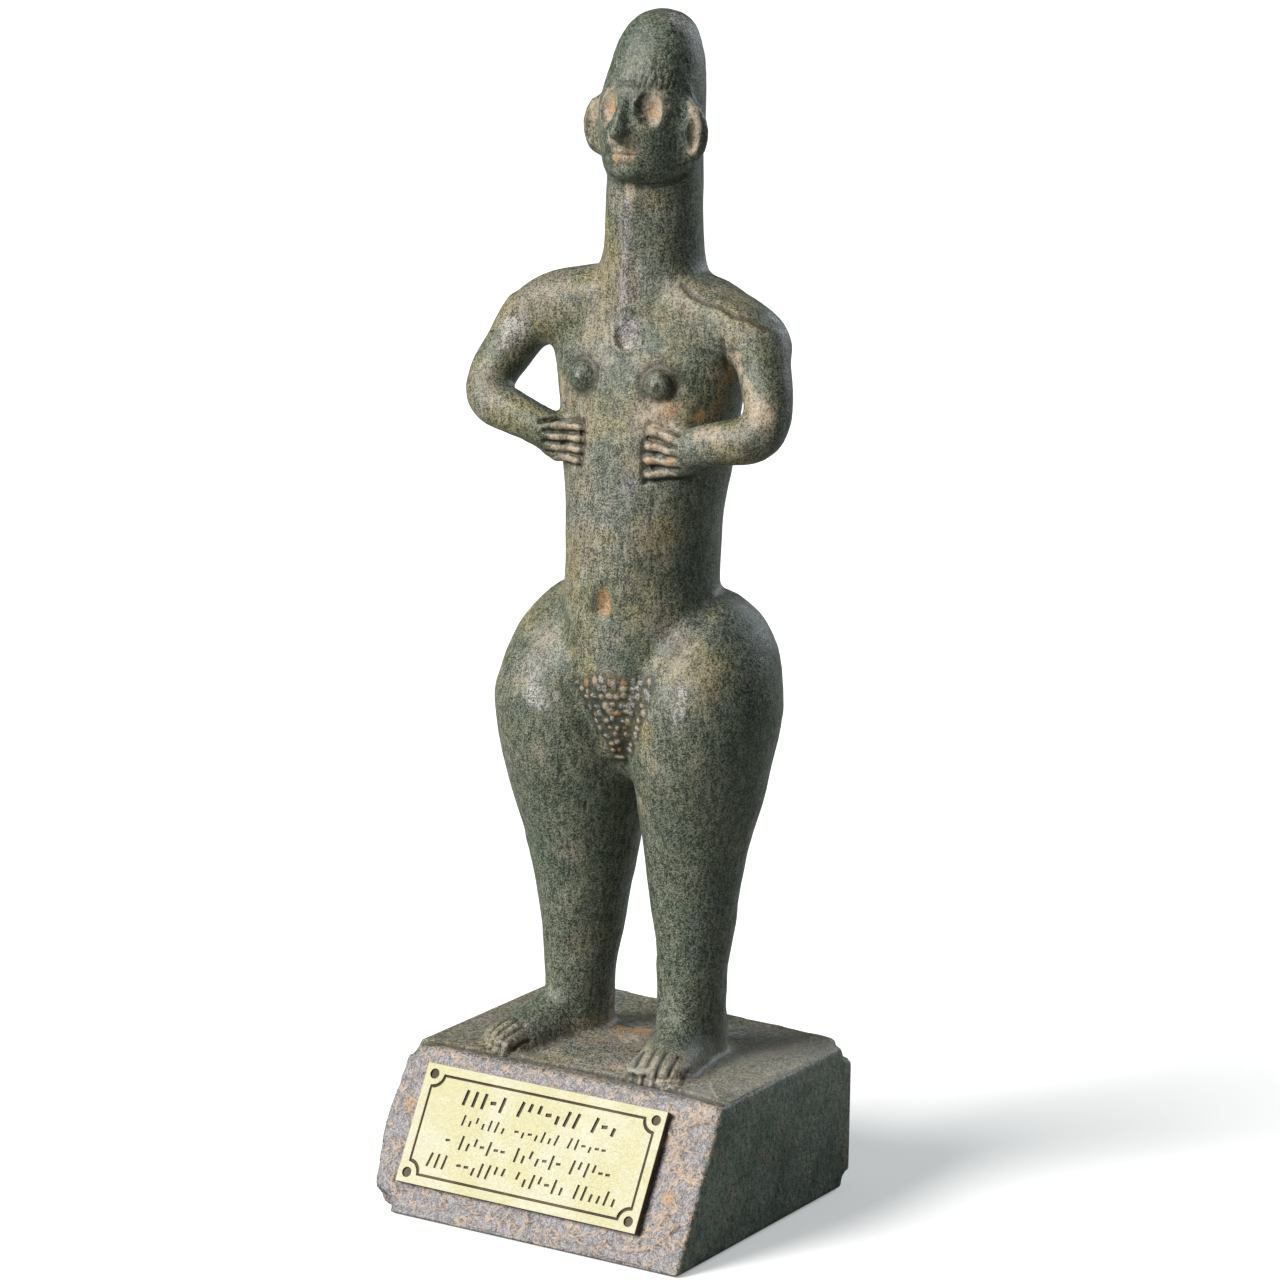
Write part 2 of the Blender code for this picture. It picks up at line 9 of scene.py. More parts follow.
import bpy
import numpy as np
from mathutils import Euler, Matrix, Vector, noise
from mathutils.bvhtree import BVHTree


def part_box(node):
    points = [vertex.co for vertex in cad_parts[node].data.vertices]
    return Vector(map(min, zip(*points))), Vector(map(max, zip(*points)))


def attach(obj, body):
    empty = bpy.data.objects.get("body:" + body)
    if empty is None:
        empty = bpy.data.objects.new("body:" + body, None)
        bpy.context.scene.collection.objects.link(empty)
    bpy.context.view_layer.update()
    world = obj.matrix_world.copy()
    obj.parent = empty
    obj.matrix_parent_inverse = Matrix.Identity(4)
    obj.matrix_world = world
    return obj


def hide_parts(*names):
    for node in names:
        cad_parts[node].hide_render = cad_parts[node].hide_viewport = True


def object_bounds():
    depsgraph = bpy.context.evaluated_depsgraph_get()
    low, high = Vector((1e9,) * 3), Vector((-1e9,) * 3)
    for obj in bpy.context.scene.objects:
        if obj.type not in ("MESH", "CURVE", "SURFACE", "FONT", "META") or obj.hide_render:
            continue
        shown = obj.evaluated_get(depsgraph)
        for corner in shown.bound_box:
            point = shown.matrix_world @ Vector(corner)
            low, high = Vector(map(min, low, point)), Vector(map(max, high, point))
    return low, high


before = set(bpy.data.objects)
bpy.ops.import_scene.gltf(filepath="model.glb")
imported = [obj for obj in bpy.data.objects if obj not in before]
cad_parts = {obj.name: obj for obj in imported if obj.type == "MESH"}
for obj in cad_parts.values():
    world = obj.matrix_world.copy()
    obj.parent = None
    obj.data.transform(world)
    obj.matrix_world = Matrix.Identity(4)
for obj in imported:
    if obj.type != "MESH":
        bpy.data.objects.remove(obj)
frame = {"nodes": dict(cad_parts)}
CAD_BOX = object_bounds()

LOG = logging.getLogger("figurine")
MM = 0.001
FIGURE_PLACE = Vector((0.0, 0.0119, 0.0432))    # the middle of the sole, on top of the block

Row = tuple[float, ...]
Rows = tuple[Row, ...]
Colour = tuple[float, float, float]
Thing, Material = bpy.types.Object, bpy.types.Material
Node, Socket, Tree = bpy.types.Node, bpy.types.NodeSocket, bpy.types.NodeTree


# ---- Work with objects ----


def only(*things: Thing) -> None:
    """Selects these objects and no other, and makes the first one active.

    Args:
        things: the objects, of which the first becomes the active one.
    """
    bpy.ops.object.select_all(action="DESELECT")
    for thing in things:
        thing.select_set(True)
    bpy.context.view_layer.objects.active = things[0] if things else None


def named(name: str) -> Thing:
    """Names the object just added, settles its place into its mesh and returns it.

    Args:
        name: its name.

    Returns:
        The object.
    """
    thing = bpy.context.object
    thing.name = name
    thing.data.name = name
    bpy.ops.object.transform_apply(location=True, rotation=True, scale=True)
    return thing


def joined(name: str, things: Sequence[Thing]) -> Thing:
    """Joins objects into the first of them.

    Args:
        name: name of the result.
        things: the objects, which are used up.

    Returns:
        The joined object.
    """
    only(*things)
    bpy.ops.object.join()
    things[0].name = name
    things[0].data.name = name
    return things[0]


def modify(thing: Thing, kind: str, **settings: object) -> None:
    """Adds a modifier and applies it.

    Args:
        thing: the object.
        kind: type of the modifier.
        settings: values of its properties.
    """
    only(thing)
    modifier = thing.modifiers.new(kind.title(), kind)
    for setting, value in settings.items():
        setattr(modifier, setting, value)
    bpy.ops.object.modifier_apply(modifier=modifier.name)


def cut(thing: Thing, tool: Thing) -> None:
    """Takes the tool's shape out of the object, and the tool out of the file."""
    modify(thing, "BOOLEAN", operation="DIFFERENCE", solver="EXACT", object=tool)
    bpy.data.objects.remove(tool, do_unlink=True)


def radians(turn: Row) -> list[float]:
    """Degrees made radians."""
    return [math.radians(angle) for angle in turn]


def towards(azimuth: float, elevation: float) -> Vector:
    """The way to a place so many degrees round to the right from the front, and up."""
    around, up = radians((azimuth, elevation))
    return Vector((math.sin(around) * math.cos(up), -math.cos(around) * math.cos(up), math.sin(up)))


def slab(name: str, middle: Row, size: Row, turn: float = 0.0) -> Thing:
    """Adds a box.

    Args:
        name: name of the box.
        middle: its middle.
        size: its sides.
        turn: its turn about the upright axis, in radians.

    Returns:
        The box.
    """
    only()
    bpy.ops.mesh.primitive_cube_add(size=1.0, location=middle, rotation=(0.0, 0.0, turn))
    bpy.context.object.scale = size
    return named(name)


def at(out: float, back: float, up: float) -> Vector:
    """A place on the figure, in millimetres from the middle of its sole."""
    return FIGURE_PLACE + Vector((out, back, up)) * MM


def through(rows: Rows, parts: int) -> list[list[float]]:
    """Fills in rows on a smooth curve through the given ones.

    Args:
        rows: rows of numbers.
        parts: how many steps lie between two given rows.

    Returns:
        The given rows and those between them.
    """
    ends = [rows[0], *rows, rows[-1]]
    made = []
    for before, here, there, after in zip(ends, ends[1:], ends[2:], ends[3:]):
        for step in range(parts):
            t = step / parts
            made.append([
                0.5 * (2 * b + (c - a) * t + (2 * a - 5 * b + 4 * c - d) * t * t
                       + (3 * b - a - 3 * c + d) * t ** 3)
                for a, b, c, d in zip(before, here, there, after)
            ])
    made.append(list(rows[-1]))
    return made


class Way(Enum):
    """The way in which a form is drawn out from its first ring."""

    SIDEWAYS = "X"
    BACK = "Y"
    UP = "Z"

    @property
    def turn(self) -> tuple[float, float, float]:
        """Turn that lays a circle square to this way."""
        return {"X": (0.0, math.pi / 2, 0.0), "Y": (math.pi / 2, 0.0, 0.0), "Z": (0.0, 0.0, 0.0)}[self.value]

    def stretch(self, across: float, along: float) -> tuple[float, float, float]:
        """Resize values for a ring square to this way."""
        return {"X": (1.0, across, along), "Y": (across, 1.0, along), "Z": (across, along, 1.0)}[self.value]


@dataclass(frozen=True)
class Ring:
    """One cross-section of a drawn-out form, in metres."""

    middle: Vector
    across: float
    along: float


def drawn_out(name: str, way: Way, rings: Sequence[Ring], squareness: float = 2.0,
              sides: int = 40) -> Thing:
    """Draws a disc out through a row of rings, as with extrude and scale by hand.

    Args:
        name: name of the form.
        way: the way it is drawn out.
        rings: its cross-sections in order.
        squareness: over 2 it fills the corners of the ovals, under 2 it thins them.
        sides: vertices in a ring.

    Returns:
        The closed form.
    """
    first = rings[0]
    only()
    bpy.ops.mesh.primitive_circle_add(vertices=sides, radius=1.0, fill_type="NGON", location=first.middle,
                                      rotation=way.turn)
    form = named(name)
    for vert in form.data.vertices:
        offset = vert.co - first.middle
        vert.co = first.middle + Vector([math.copysign(abs(v) ** (2 / squareness), v) for v in offset])
    bpy.ops.object.mode_set(mode="EDIT")
    bpy.ops.mesh.select_all(action="SELECT")
    bpy.ops.transform.resize(value=way.stretch(first.across, first.along), center_override=first.middle)
    for before, ring in zip(rings, rings[1:]):
        bpy.ops.mesh.extrude_region_move(TRANSFORM_OT_translate={"value": ring.middle - before.middle})
        ratio = way.stretch(ring.across / before.across, ring.along / before.along)
        bpy.ops.transform.resize(value=ratio, center_override=ring.middle)
    bpy.ops.mesh.select_all(action="SELECT")
    bpy.ops.mesh.normals_make_consistent(inside=False)
    bpy.ops.object.mode_set(mode="OBJECT")
    return form


def egg(name: str, middle: Vector, size: Row, turn: Row = (0.0, 0.0, 0.0)) -> Thing:
    """Adds an egg.

    Args:
        name: name of the form.
        middle: its middle, in metres.
        size: its half-sizes in millimetres.
        turn: its turn in degrees.

    Returns:
        The form.
    """
    only()
    bpy.ops.mesh.primitive_uv_sphere_add(segments=32, ring_count=18, radius=MM, location=middle,
                                         rotation=radians(turn))
    bpy.context.object.scale = size
    return named(name)


def upright(name: str, rows: Iterable[Row], squareness: float = 2.0) -> Thing:
    """Draws a form upwards from rows of height, middle out, middle back, half-width and half-depth.

    Args:
        name: its name.
        rows: the rows, in millimetres.
        squareness: as in drawn_out().

    Returns:
        The form.
    """
    rings = [
        Ring(at(out, back, height), wide * MM, deep * MM)
        for height, out, back, wide, deep in through(tuple(rows), 4)
    ]
    return drawn_out(name, Way.UP, rings, squareness)


def centred(rows: Rows) -> list[Row]:
    """Rows of height, half-width, half-depth and middle, as upright() takes them, on the mid plane."""
    return [(height, 0.0, middle, wide, deep) for height, wide, deep, middle in rows]


# ---- Shapes ----


@dataclass(frozen=True)
class Figure:
    """The standing figure: its large forms and its small raised carving, in millimetres."""

    trunk: Rows = (
        (86, 3.8, 7.0, -8.2), (90, 7.4, 11.0, -6.6), (97, 13.0, 15.8, -4.6), (106, 19.6, 19.6, -3.0),
        (118, 22.4, 21.0, -2.2), (132, 22.5, 20.5, -2.0), (142, 22.2, 20.8, -1.6), (153, 22.6, 20.8, -0.9),
        (164, 23.8, 20.5, 0.0), (176, 26.1, 20.2, 0.8), (188, 28.0, 18.8, 1.2), (198, 30, 17.3, 1.5),
        (205, 33, 15, 1.6), (212, 36, 13, 1.4), (218, 31, 11.4, 1.4), (222.5, 19, 10, 1.4),
    )
    shoulders: Rows = (
        (0, 1.2, 212.5, 12.3, 11.6), (17, 0.9, 212.5, 12.0, 11.3), (28, 0.0, 210.3, 11.2, 9.8),
        (37, -0.9, 207.6, 10.0, 8.8), (42.5, -1.5, 205.2, 7.6, 6.8), (44.6, -1.7, 204.4, 4.0, 3.8),
    )
    right_shoulder_lift: float = 1.7
    right_shoulder_top: float = 32
    neck: Rows = (
        (213, 19, 14, 1.6), (222, 16.6, 13.8, 1.8), (229, 14.3, 13.5, 2.0), (242, 13.5, 13.4, 2.1),
        (256, 13.2, 13.3, 2.1),
    )
    head: Rows = (
        (247.6, 7, 8.5, 1.6), (249.2, 10.2, 12.6, 0.9), (252, 12.0, 14.4, 0.4), (257, 13.1, 15.4, 0.1),
        (263, 13.9, 16.0, -0.1), (269, 14.0, 15.7, 0.2), (275, 13.4, 14.7, 1.7), (281, 12.7, 13.4, 3.2),
        (287, 11.1, 11.5, 4.5), (291.5, 8.8, 9.1, 5.3), (294.2, 5.6, 5.8, 5.6), (295.4, 2.2, 2.2, 5.7),
    )
    eye_height: float = 270.2
    mouth_height: float = 257.2
    bridge: Rows = (                # the nose: height, how proud it stands, half-width and half-depth
        (273.2, 0.6, 1.2, 1.6), (269, -0.4, 1.7, 2.4), (264, -1.4, 2.4, 3.2), (262.2, -1.4, 2.7, 3.2),
        (261.2, -0.2, 1.9, 2.2),
    )
    chin: Rows = ((0, -12.6, 253.2), (5.2, 3.4, 3.6))       # these have a place and half-sizes
    crotch: Rows = ((0, -2.5, 87.5), (4.8, 11.5, 10.0))
    palm: Rows = ((21.5, -14.6, 176.6), (6.6, 3.8, 6.5))
    palm_turn: float = 24           # degrees that the palm follows the round of the ribs
    ear: Rows = ((14.4, -3.9, 263.0), (6.1, 3.0, 8.8))
    ear_turn: float = 12
    leg: Rows = (
        (-3, 18.3, 0.0, 10, 11.5), (4, 18.3, 0.0, 9.9, 11.5), (12, 18.3, -0.5, 9.8, 10.7),
        (20, 18.5, -0.8, 10.1, 10.5), (30, 18.4, -0.8, 11.2, 11.3), (43, 18.5, -0.9, 13.0, 13.1),
        (58, 18.7, -1.0, 15.4, 15.6), (71, 19.8, -1.3, 18.1, 18.4), (85, 20.3, -1.7, 20.7, 21.6),
        (99, 21.2, -1.3, 22.5, 23.5), (108, 20.8, -0.4, 22.1, 23.2), (118, 20.1, 1.4, 19.7, 21.4),
        (126.4, 19.0, 2.9, 15.7, 17.0), (132.4, 18, 3.5, 9.7, 10.2), (134.8, 17.5, 3.6, 3, 3),
    )
    leg_girth: float = 0.065        # how much the right leg is thicker than the mean, and the left thinner
    foot: Rows = (
        (-10.5, 4.5, 7), (-7, 8, 12), (0, 9.7, 17), (8, 9.2, 15), (15, 9.2, 10.5), (22, 9.5, 7.6),
        (27, 8.6, 5.6), (29, 6.5, 4.2),
    )
    ankle: Row = (18.3, -0.5)
    sole_out: Row = (-0.5, 1.9)     # how far the left and the right sole stand out from the leg's line
    splay: Row = (10.0, 23.0)       # degrees that the left and the right foot turn out
    toes: int = 5
    toe_pitch: float = 3.6
    toe_length: float = 8.0
    toe_radius: float = 1.65
    left_arm: Rows = (
        (36.0, -1.5, 208.6, 8.8), (41.0, -5.4, 198.6, 7.4), (44.8, -10.8, 187.8, 6.6),
        (43.4, -13.4, 183.2, 6.6), (35.5, -15.0, 181.0, 6.3), (26.5, -15.2, 178.9, 5.7),
        (21.0, -15.2, 177.0, 5.2),
    )
    right_arm: Rows = (
        (36.4, -1.5, 208.8, 8.8), (42.0, -5.4, 199.0, 7.6), (45.3, -10.8, 188.8, 6.9),
        (43.1, -13.4, 184.7, 6.7), (35.0, -15.0, 182.1, 6.3), (26.5, -15.2, 179.4, 5.8),
        (21.0, -15.2, 177.2, 5.2),
    )
    fingers: int = 4
    finger_pitch: float = 3.1
    finger_reach: float = 11.2
    finger_radius: float = 1.4
    finger_fan: Row = (5.0, 0.0)    # degrees between neighbouring fingers of the left and the right hand
    knuckles: float = 21.5
    hand_height: float = 175.8
    nipple: Row = (12.2, 194.6)     # out and up
    navel: float = 132.6
    # the blunt bar that fingers and toes are made from: shares of its length and of its girth
    bar: Rows = ((0.0, 0.55), (0.10, 0.92), (0.37, 1.0), (0.64, 1.0), (0.90, 0.92), (1.0, 0.55))

    def yoke(self) -> Thing:
        """The square shoulders, drawn out from one arm to the other.

        Returns:
            The form.
        """
        half = through(self.shoulders, 3)
        rows = [[-out, *rest] for out, *rest in reversed(half[1:])] + half
        rings = []
        for out, back, height, deep, tall in rows:
            fade = abs(out + self.right_shoulder_top) / (self.shoulders[-1][0] - self.right_shoulder_top)
            lift = self.right_shoulder_lift * max(0.0, 1 - fade) / 2
            rings.append(Ring(at(out, back, height + lift), deep * MM, (tall + lift) * MM))
        return drawn_out("shoulders", Way.SIDEWAYS, rings, 2.5)

    def one_leg(self, side: int) -> Thing:
        """One leg from the sole to the top of its thigh; side is 1 for the left and -1 for the right.

        Args:
            side: 1 for the left, -1 for the right.

        Returns:
            The leg.
        """
        rows = []
        for height, out, back, wide, deep in self.leg:
            share = min(1.0, max(0.0, (height - 14) / 98))
            girth = 1 - side * self.leg_girth * math.sin(math.pi * share) ** 0.5
            stand = out + self.sole_out[side < 0] * min(1.0, max(0.0, 1 - height / 30))
            rows.append((height, side * stand, back, wide * girth, deep * girth))
        return upright("leg", rows)

    def foot_place(self, side: int) -> tuple[Vector, float]:
        """Ankle on the block and turn, in radians, of one foot."""
        ankle = at(side * (self.ankle[0] + self.sole_out[side < 0]), self.ankle[1], 0.0)
        return ankle, side * math.radians(self.splay[side < 0])

    def one_foot(self, side: int) -> Thing:
        """One foot and its toes, modelled straight and then turned out.

        Args:
            side: 1 for the left, -1 for the right.

        Returns:
            The foot in its place.
        """
        rings = [
            Ring(Vector((0.0, -place, 0.0)) * MM, wide * MM, tall * MM)
            for place, wide, tall in through(self.foot, 4)
        ]
        parts = [drawn_out("foot", Way.BACK, rings, sides=28)]
        for toe in range(self.toes):
            row = side * (toe - (self.toes - 1) / 2)
            tip = 31.4 - 0.8 * side * row - 0.45 * row * row
            start = Vector((row * self.toe_pitch * 0.9, self.toe_length - tip, 4.4))
            parts.append(self.blunt_bar("toe", start, Vector((row * self.toe_pitch, -tip, 1.6))))
        foot = joined("foot", parts)
        foot.location, foot.rotation_euler.z = self.foot_place(side)
        only(foot)
        return named("foot")

    def blunt_bar(self, name: str, start: Vector, end: Vector) -> Thing:
        """A blunt round bar between two places, in millimetres, with a toe's girth.

        Args:
            name: its name.
            start: its first end, in millimetres.
            end: its other end.

        Returns:
            The bar.
        """
        length = (end - start).length
        rings = [
            Ring(Vector((0.0, 0.0, share * length)) * MM, self.toe_radius * girth * MM,
                 self.toe_radius * girth * MM)
            for share, girth in self.bar
        ]
        made = drawn_out(name, Way.UP, rings, sides=12)
        made.location = start * MM
        made.rotation_euler = (end - start).to_track_quat("Z", "Y").to_euler()
        only(made)
        return named(name)

    def one_arm(self, side: int) -> Thing:
        """One arm down to its palm: a tube on a smooth curve that swells at the elbow.

        Args:
            side: 1 for the left, -1 for the right.

        Returns:
            The arm.
        """
        only()
        bpy.ops.curve.primitive_bezier_curve_add(location=(0.0, 0.0, 0.0))
        arm = bpy.context.object
        arm.data.bevel_depth = MM
        arm.data.bevel_resolution = 8
        arm.data.use_fill_caps = True
        spline = arm.data.splines[0]
        spline.resolution_u = 8
        route = self.left_arm if side > 0 else self.right_arm
        spline.bezier_points.add(len(route) - len(spline.bezier_points))
        for point, (out, back, height, radius) in zip(spline.bezier_points, route):
            point.co = at(side * out, back, height)
            point.handle_left_type = point.handle_right_type = "AUTO"
            point.radius = radius
        bpy.ops.object.convert(target="MESH")
        return named("arm")

    def forms(self) -> list[Thing]:
        """The large round forms that fuse into one skin.

        Returns:
            The forms.
        """
        made = [
            upright("trunk", centred(self.trunk)),
            upright("neck", centred(self.neck)),
            upright("head", centred(self.head), 2.15),
            egg("chin", at(*self.chin[0]), self.chin[1]),
            egg("crotch", at(*self.crotch[0]), self.crotch[1]),
            self.yoke(),
        ]
        for side in (-1, 1):
            made += [
                self.one_leg(side),
                self.one_foot(side),
                self.one_arm(side),
            ]
            for name, form, turn in (("palm", self.palm, self.palm_turn), ("ear", self.ear, self.ear_turn)):
                (out, back, up), size = form
                made.append(egg(name, at(side * out, back, up), size, (0, 0, side * turn)))
        return made

    def finger_line(self, side: int, row: float, share: float) -> tuple[float, float]:
        """Place out and up of a point on a finger; row counts from the middle of the hand upwards.

        Args:
            side: 1 for the left, -1 for the right.
            row: which finger, counted from the middle of the hand upwards.
            share: how far along the finger.

        Returns:
            The place, in millimetres.
        """
        reach = self.finger_reach - 0.5 * abs(row)
        slope = math.tan(math.radians(self.finger_fan[side < 0])) * row
        return (side * (self.knuckles - reach * share),
                self.hand_height + row * self.finger_pitch + slope * reach * share)

    def raised(self, front: Callable[[float, float], float]) -> list[Thing]:
        """The small raised carving, each piece seated on the skin.

        Args:
            front: tells how far back the skin's front lies at a place out and up, in millimetres.

        Returns:
            The pieces.
        """
        rings = [
            Ring(at(0, front(0, height) + proud, height), half * MM, deep * MM)
            for height, proud, half, deep in self.bridge
        ]
        made = [drawn_out("nose", Way.UP, rings, 1.6, 16)]
        for shift in (-1.1, 1.1):
            height = self.mouth_height + shift
            made.append(egg("lip", at(0, front(0, height) + 0.8, height), (2.9, 1.8, 0.95)))
        out, height = self.nipple
        for side in (-1, 1):
            seat = at(side * out, front(side * out, height) + 0.3, height)
            made.append(egg("nipple", seat, (4.2, 2.5, 4.2)))
            made.append(egg("nipple", seat, (1.9, 3.3, 1.9)))
            for finger in range(self.fingers):
                row = (self.fingers - 1) / 2 - finger
                rings = []
                for share, girth in self.bar:
                    x, z = self.finger_line(side, row, share)
                    half = self.finger_radius * girth * MM
                    rings.append(Ring(at(x, front(x, z) + 0.8 - 1.2 * share, z), half, half))
                made.append(drawn_out("finger", Way.SIDEWAYS, rings, sides=12))
        return made


@dataclass(frozen=True)
class Block:
    """The block under the figure, in metres."""

    width: float = 0.1022
    height: float = 0.0432
    top_depth: float = 0.0745
    slope: float = 0.0238           # how far the foot of the front stands before its top edge
    bulge: float = 0.0038
    top_spread: float = 0.0018
    back_left: float = 0.0046
    back_right: float = 0.0022
    groove_margin: float = 0.0042
    edge: float = 0.0008            # worn round along every edge
    mound: Rows = ((0, -3, -1.5), (34, 27, 4.4))    # place and half-sizes, in millimetres

    @property
    def back(self) -> float:
        """Place of the back."""
        return (self.top_depth + self.slope) / 2

    def groove(self, out: np.ndarray) -> np.ndarray:
        """Where the line along the top runs: how far back, for places sideways."""
        share = np.clip(out / self.width + 0.5, 0.0, 1.0)
        return self.top_front + 0.0016 + self.groove_margin * np.sin(np.pi * share) ** 0.7

    @property
    def top_front(self) -> float:
        """Place of the top's front edge."""
        return self.back - self.top_depth

    def build(self) -> list[Thing]:
        """The block with its chipped corners, and the mound on it.

        Returns:
            The two forms.
        """
        half = self.width / 2
        block = slab("block", (0.0, 0.0, self.height / 2), (self.width, self.top_depth, self.height))
        only(block)
        bpy.ops.object.mode_set(mode="EDIT")
        bpy.ops.mesh.select_all(action="SELECT")
        bpy.ops.mesh.bisect(plane_co=(0.0, 0.0, self.height / 2), plane_no=(0.0, 0.0, 1.0))
        bpy.ops.object.mode_set(mode="OBJECT")
        for vert in block.data.vertices:
            share = vert.co.z / self.height
            swell = (0.0, self.bulge, self.top_spread)[round(share * 2)]
            left = vert.co.x < 0
            vert.co.x = -half - swell if left else half
            if vert.co.y < 0:
                vert.co.y = self.top_front - self.slope * (1 - share)
            else:
                vert.co.y = self.back + (self.back_left if left else -self.back_right)
        modify(block, "BEVEL", width=self.edge, segments=2, limit_method="ANGLE", angle_limit=math.radians(20))
        corners = (
            ((half, self.back - self.back_right, self.height), 7.0, (50, 30, 40)),
            ((half, self.back - self.back_right, 0.0), 5.4, (25, 45, 35)),
            ((-half, self.top_front - self.slope, 0.0), 8.2, (35, 50, 30)),
            ((-half - self.top_spread, self.top_front, self.height), 4.2, (40, 20, 55)),
        )
        for place, reach, turn in corners:
            only()
            bpy.ops.mesh.primitive_ico_sphere_add(subdivisions=1, radius=reach * MM, location=place,
                                                  rotation=radians(turn))
            cut(block, named("chip"))
        return [block, egg("mound", at(*self.mound[0]), self.mound[1])]


@dataclass(frozen=True)
class PhotoView:
    """The camera that took the picture, whose frame is 1280 pixels square."""

    eye: Row = (0.7304, -1.17295, 0.4863)
    azimuth: float = 31.70
    elevation: float = 13.14
    roll: float = 0.84
    frame: int = 1280
    focal: float = 5073.0           # in pixels
    sensor: float = 36.0

    def axes(self) -> Matrix:
        """Matrix whose columns point to the right, up and back from the picture.

        Returns:
            The matrix.
        """
        around, roll = radians((self.azimuth, self.roll))
        back = towards(self.azimuth, self.elevation)
        level = Vector((math.cos(around), math.sin(around), 0.0))
        rise = back.cross(level)
        right = level * math.cos(roll) + rise * math.sin(roll)
        top = rise * math.cos(roll) - level * math.sin(roll)
        return Matrix((right, top, back)).transposed()

    def ray(self, across: float, down: float) -> Vector:
        """Direction in which the camera sees a pixel.

        Args:
            across: the pixel's place across the picture.
            down: its place down the picture.

        Returns:
            The direction.
        """
        middle = self.frame / 2
        seen = Vector(((across - middle) / self.focal, (middle - down) / self.focal, -1.0))
        return (self.axes() @ seen).normalized()

    def build(self) -> None:
        """Adds the camera and makes it the scene's."""
        only()
        bpy.ops.object.camera_add(location=self.eye, rotation=self.axes().to_euler())
        camera = bpy.context.object
        camera.data.sensor_width = self.sensor
        camera.data.lens = self.focal * self.sensor / self.frame
        bpy.context.scene.camera = camera


# ---- Carving and staining ----


class Stain(Enum):
    """What the surface of the cast carries, and the light and shade painted on it, as point attributes that its
    finish reads.
    """

    CREAM_AND_LIT = "cream_and_lit"         # pale dirt, and a patch painted lighter on the block's top where the leg's shadow falls
    RUST = "rust"           # orange dirt
    SOOT_AND_SHADE = "soot_and_shade"           # dark brown in the carving, and painted shadow beside the nose, under the jaw and under a foot
    VEIN = "vein"           # crinkles of the block
    KHAKI_AND_LIT = "khaki_and_lit"         # the sandy tone of chest, belly and neck, laid heavier on faces turned to the key light as painted light
    MOSS = "moss"           # deep blue-green
    MAUVE = "mauve"         # the grey-violet tone of the block's front
    SLAB = "slab"           # the block, whose paint is crinkled
    SHEEN_AND_RUBBED = "sheen_and_rubbed"         # rubbed pale and shiny, and painted highlights
    WORN_AND_LIT = "worn_and_lit"           # convex places, and a patch painted lighter on the block's top
    HOLLOW_SHADE_AND_DIRT = "hollow_shade_and_dirt"       # concave places, darkened as painted shade and dirt


CREAM_AND_LIT, RUST, SOOT_AND_SHADE, VEIN, KHAKI_AND_LIT, MOSS, MAUVE, SLAB, SHEEN_AND_RUBBED, WORN_AND_LIT, HOLLOW_SHADE_AND_DIRT = Stain


def ease(low: float, high: float, value: np.ndarray) -> np.ndarray:
    """Rises smoothly from 0 at low to 1 at high."""
    share = np.clip((value - low) / (high - low), 0.0, 1.0)
    return share * share * (3 - 2 * share)


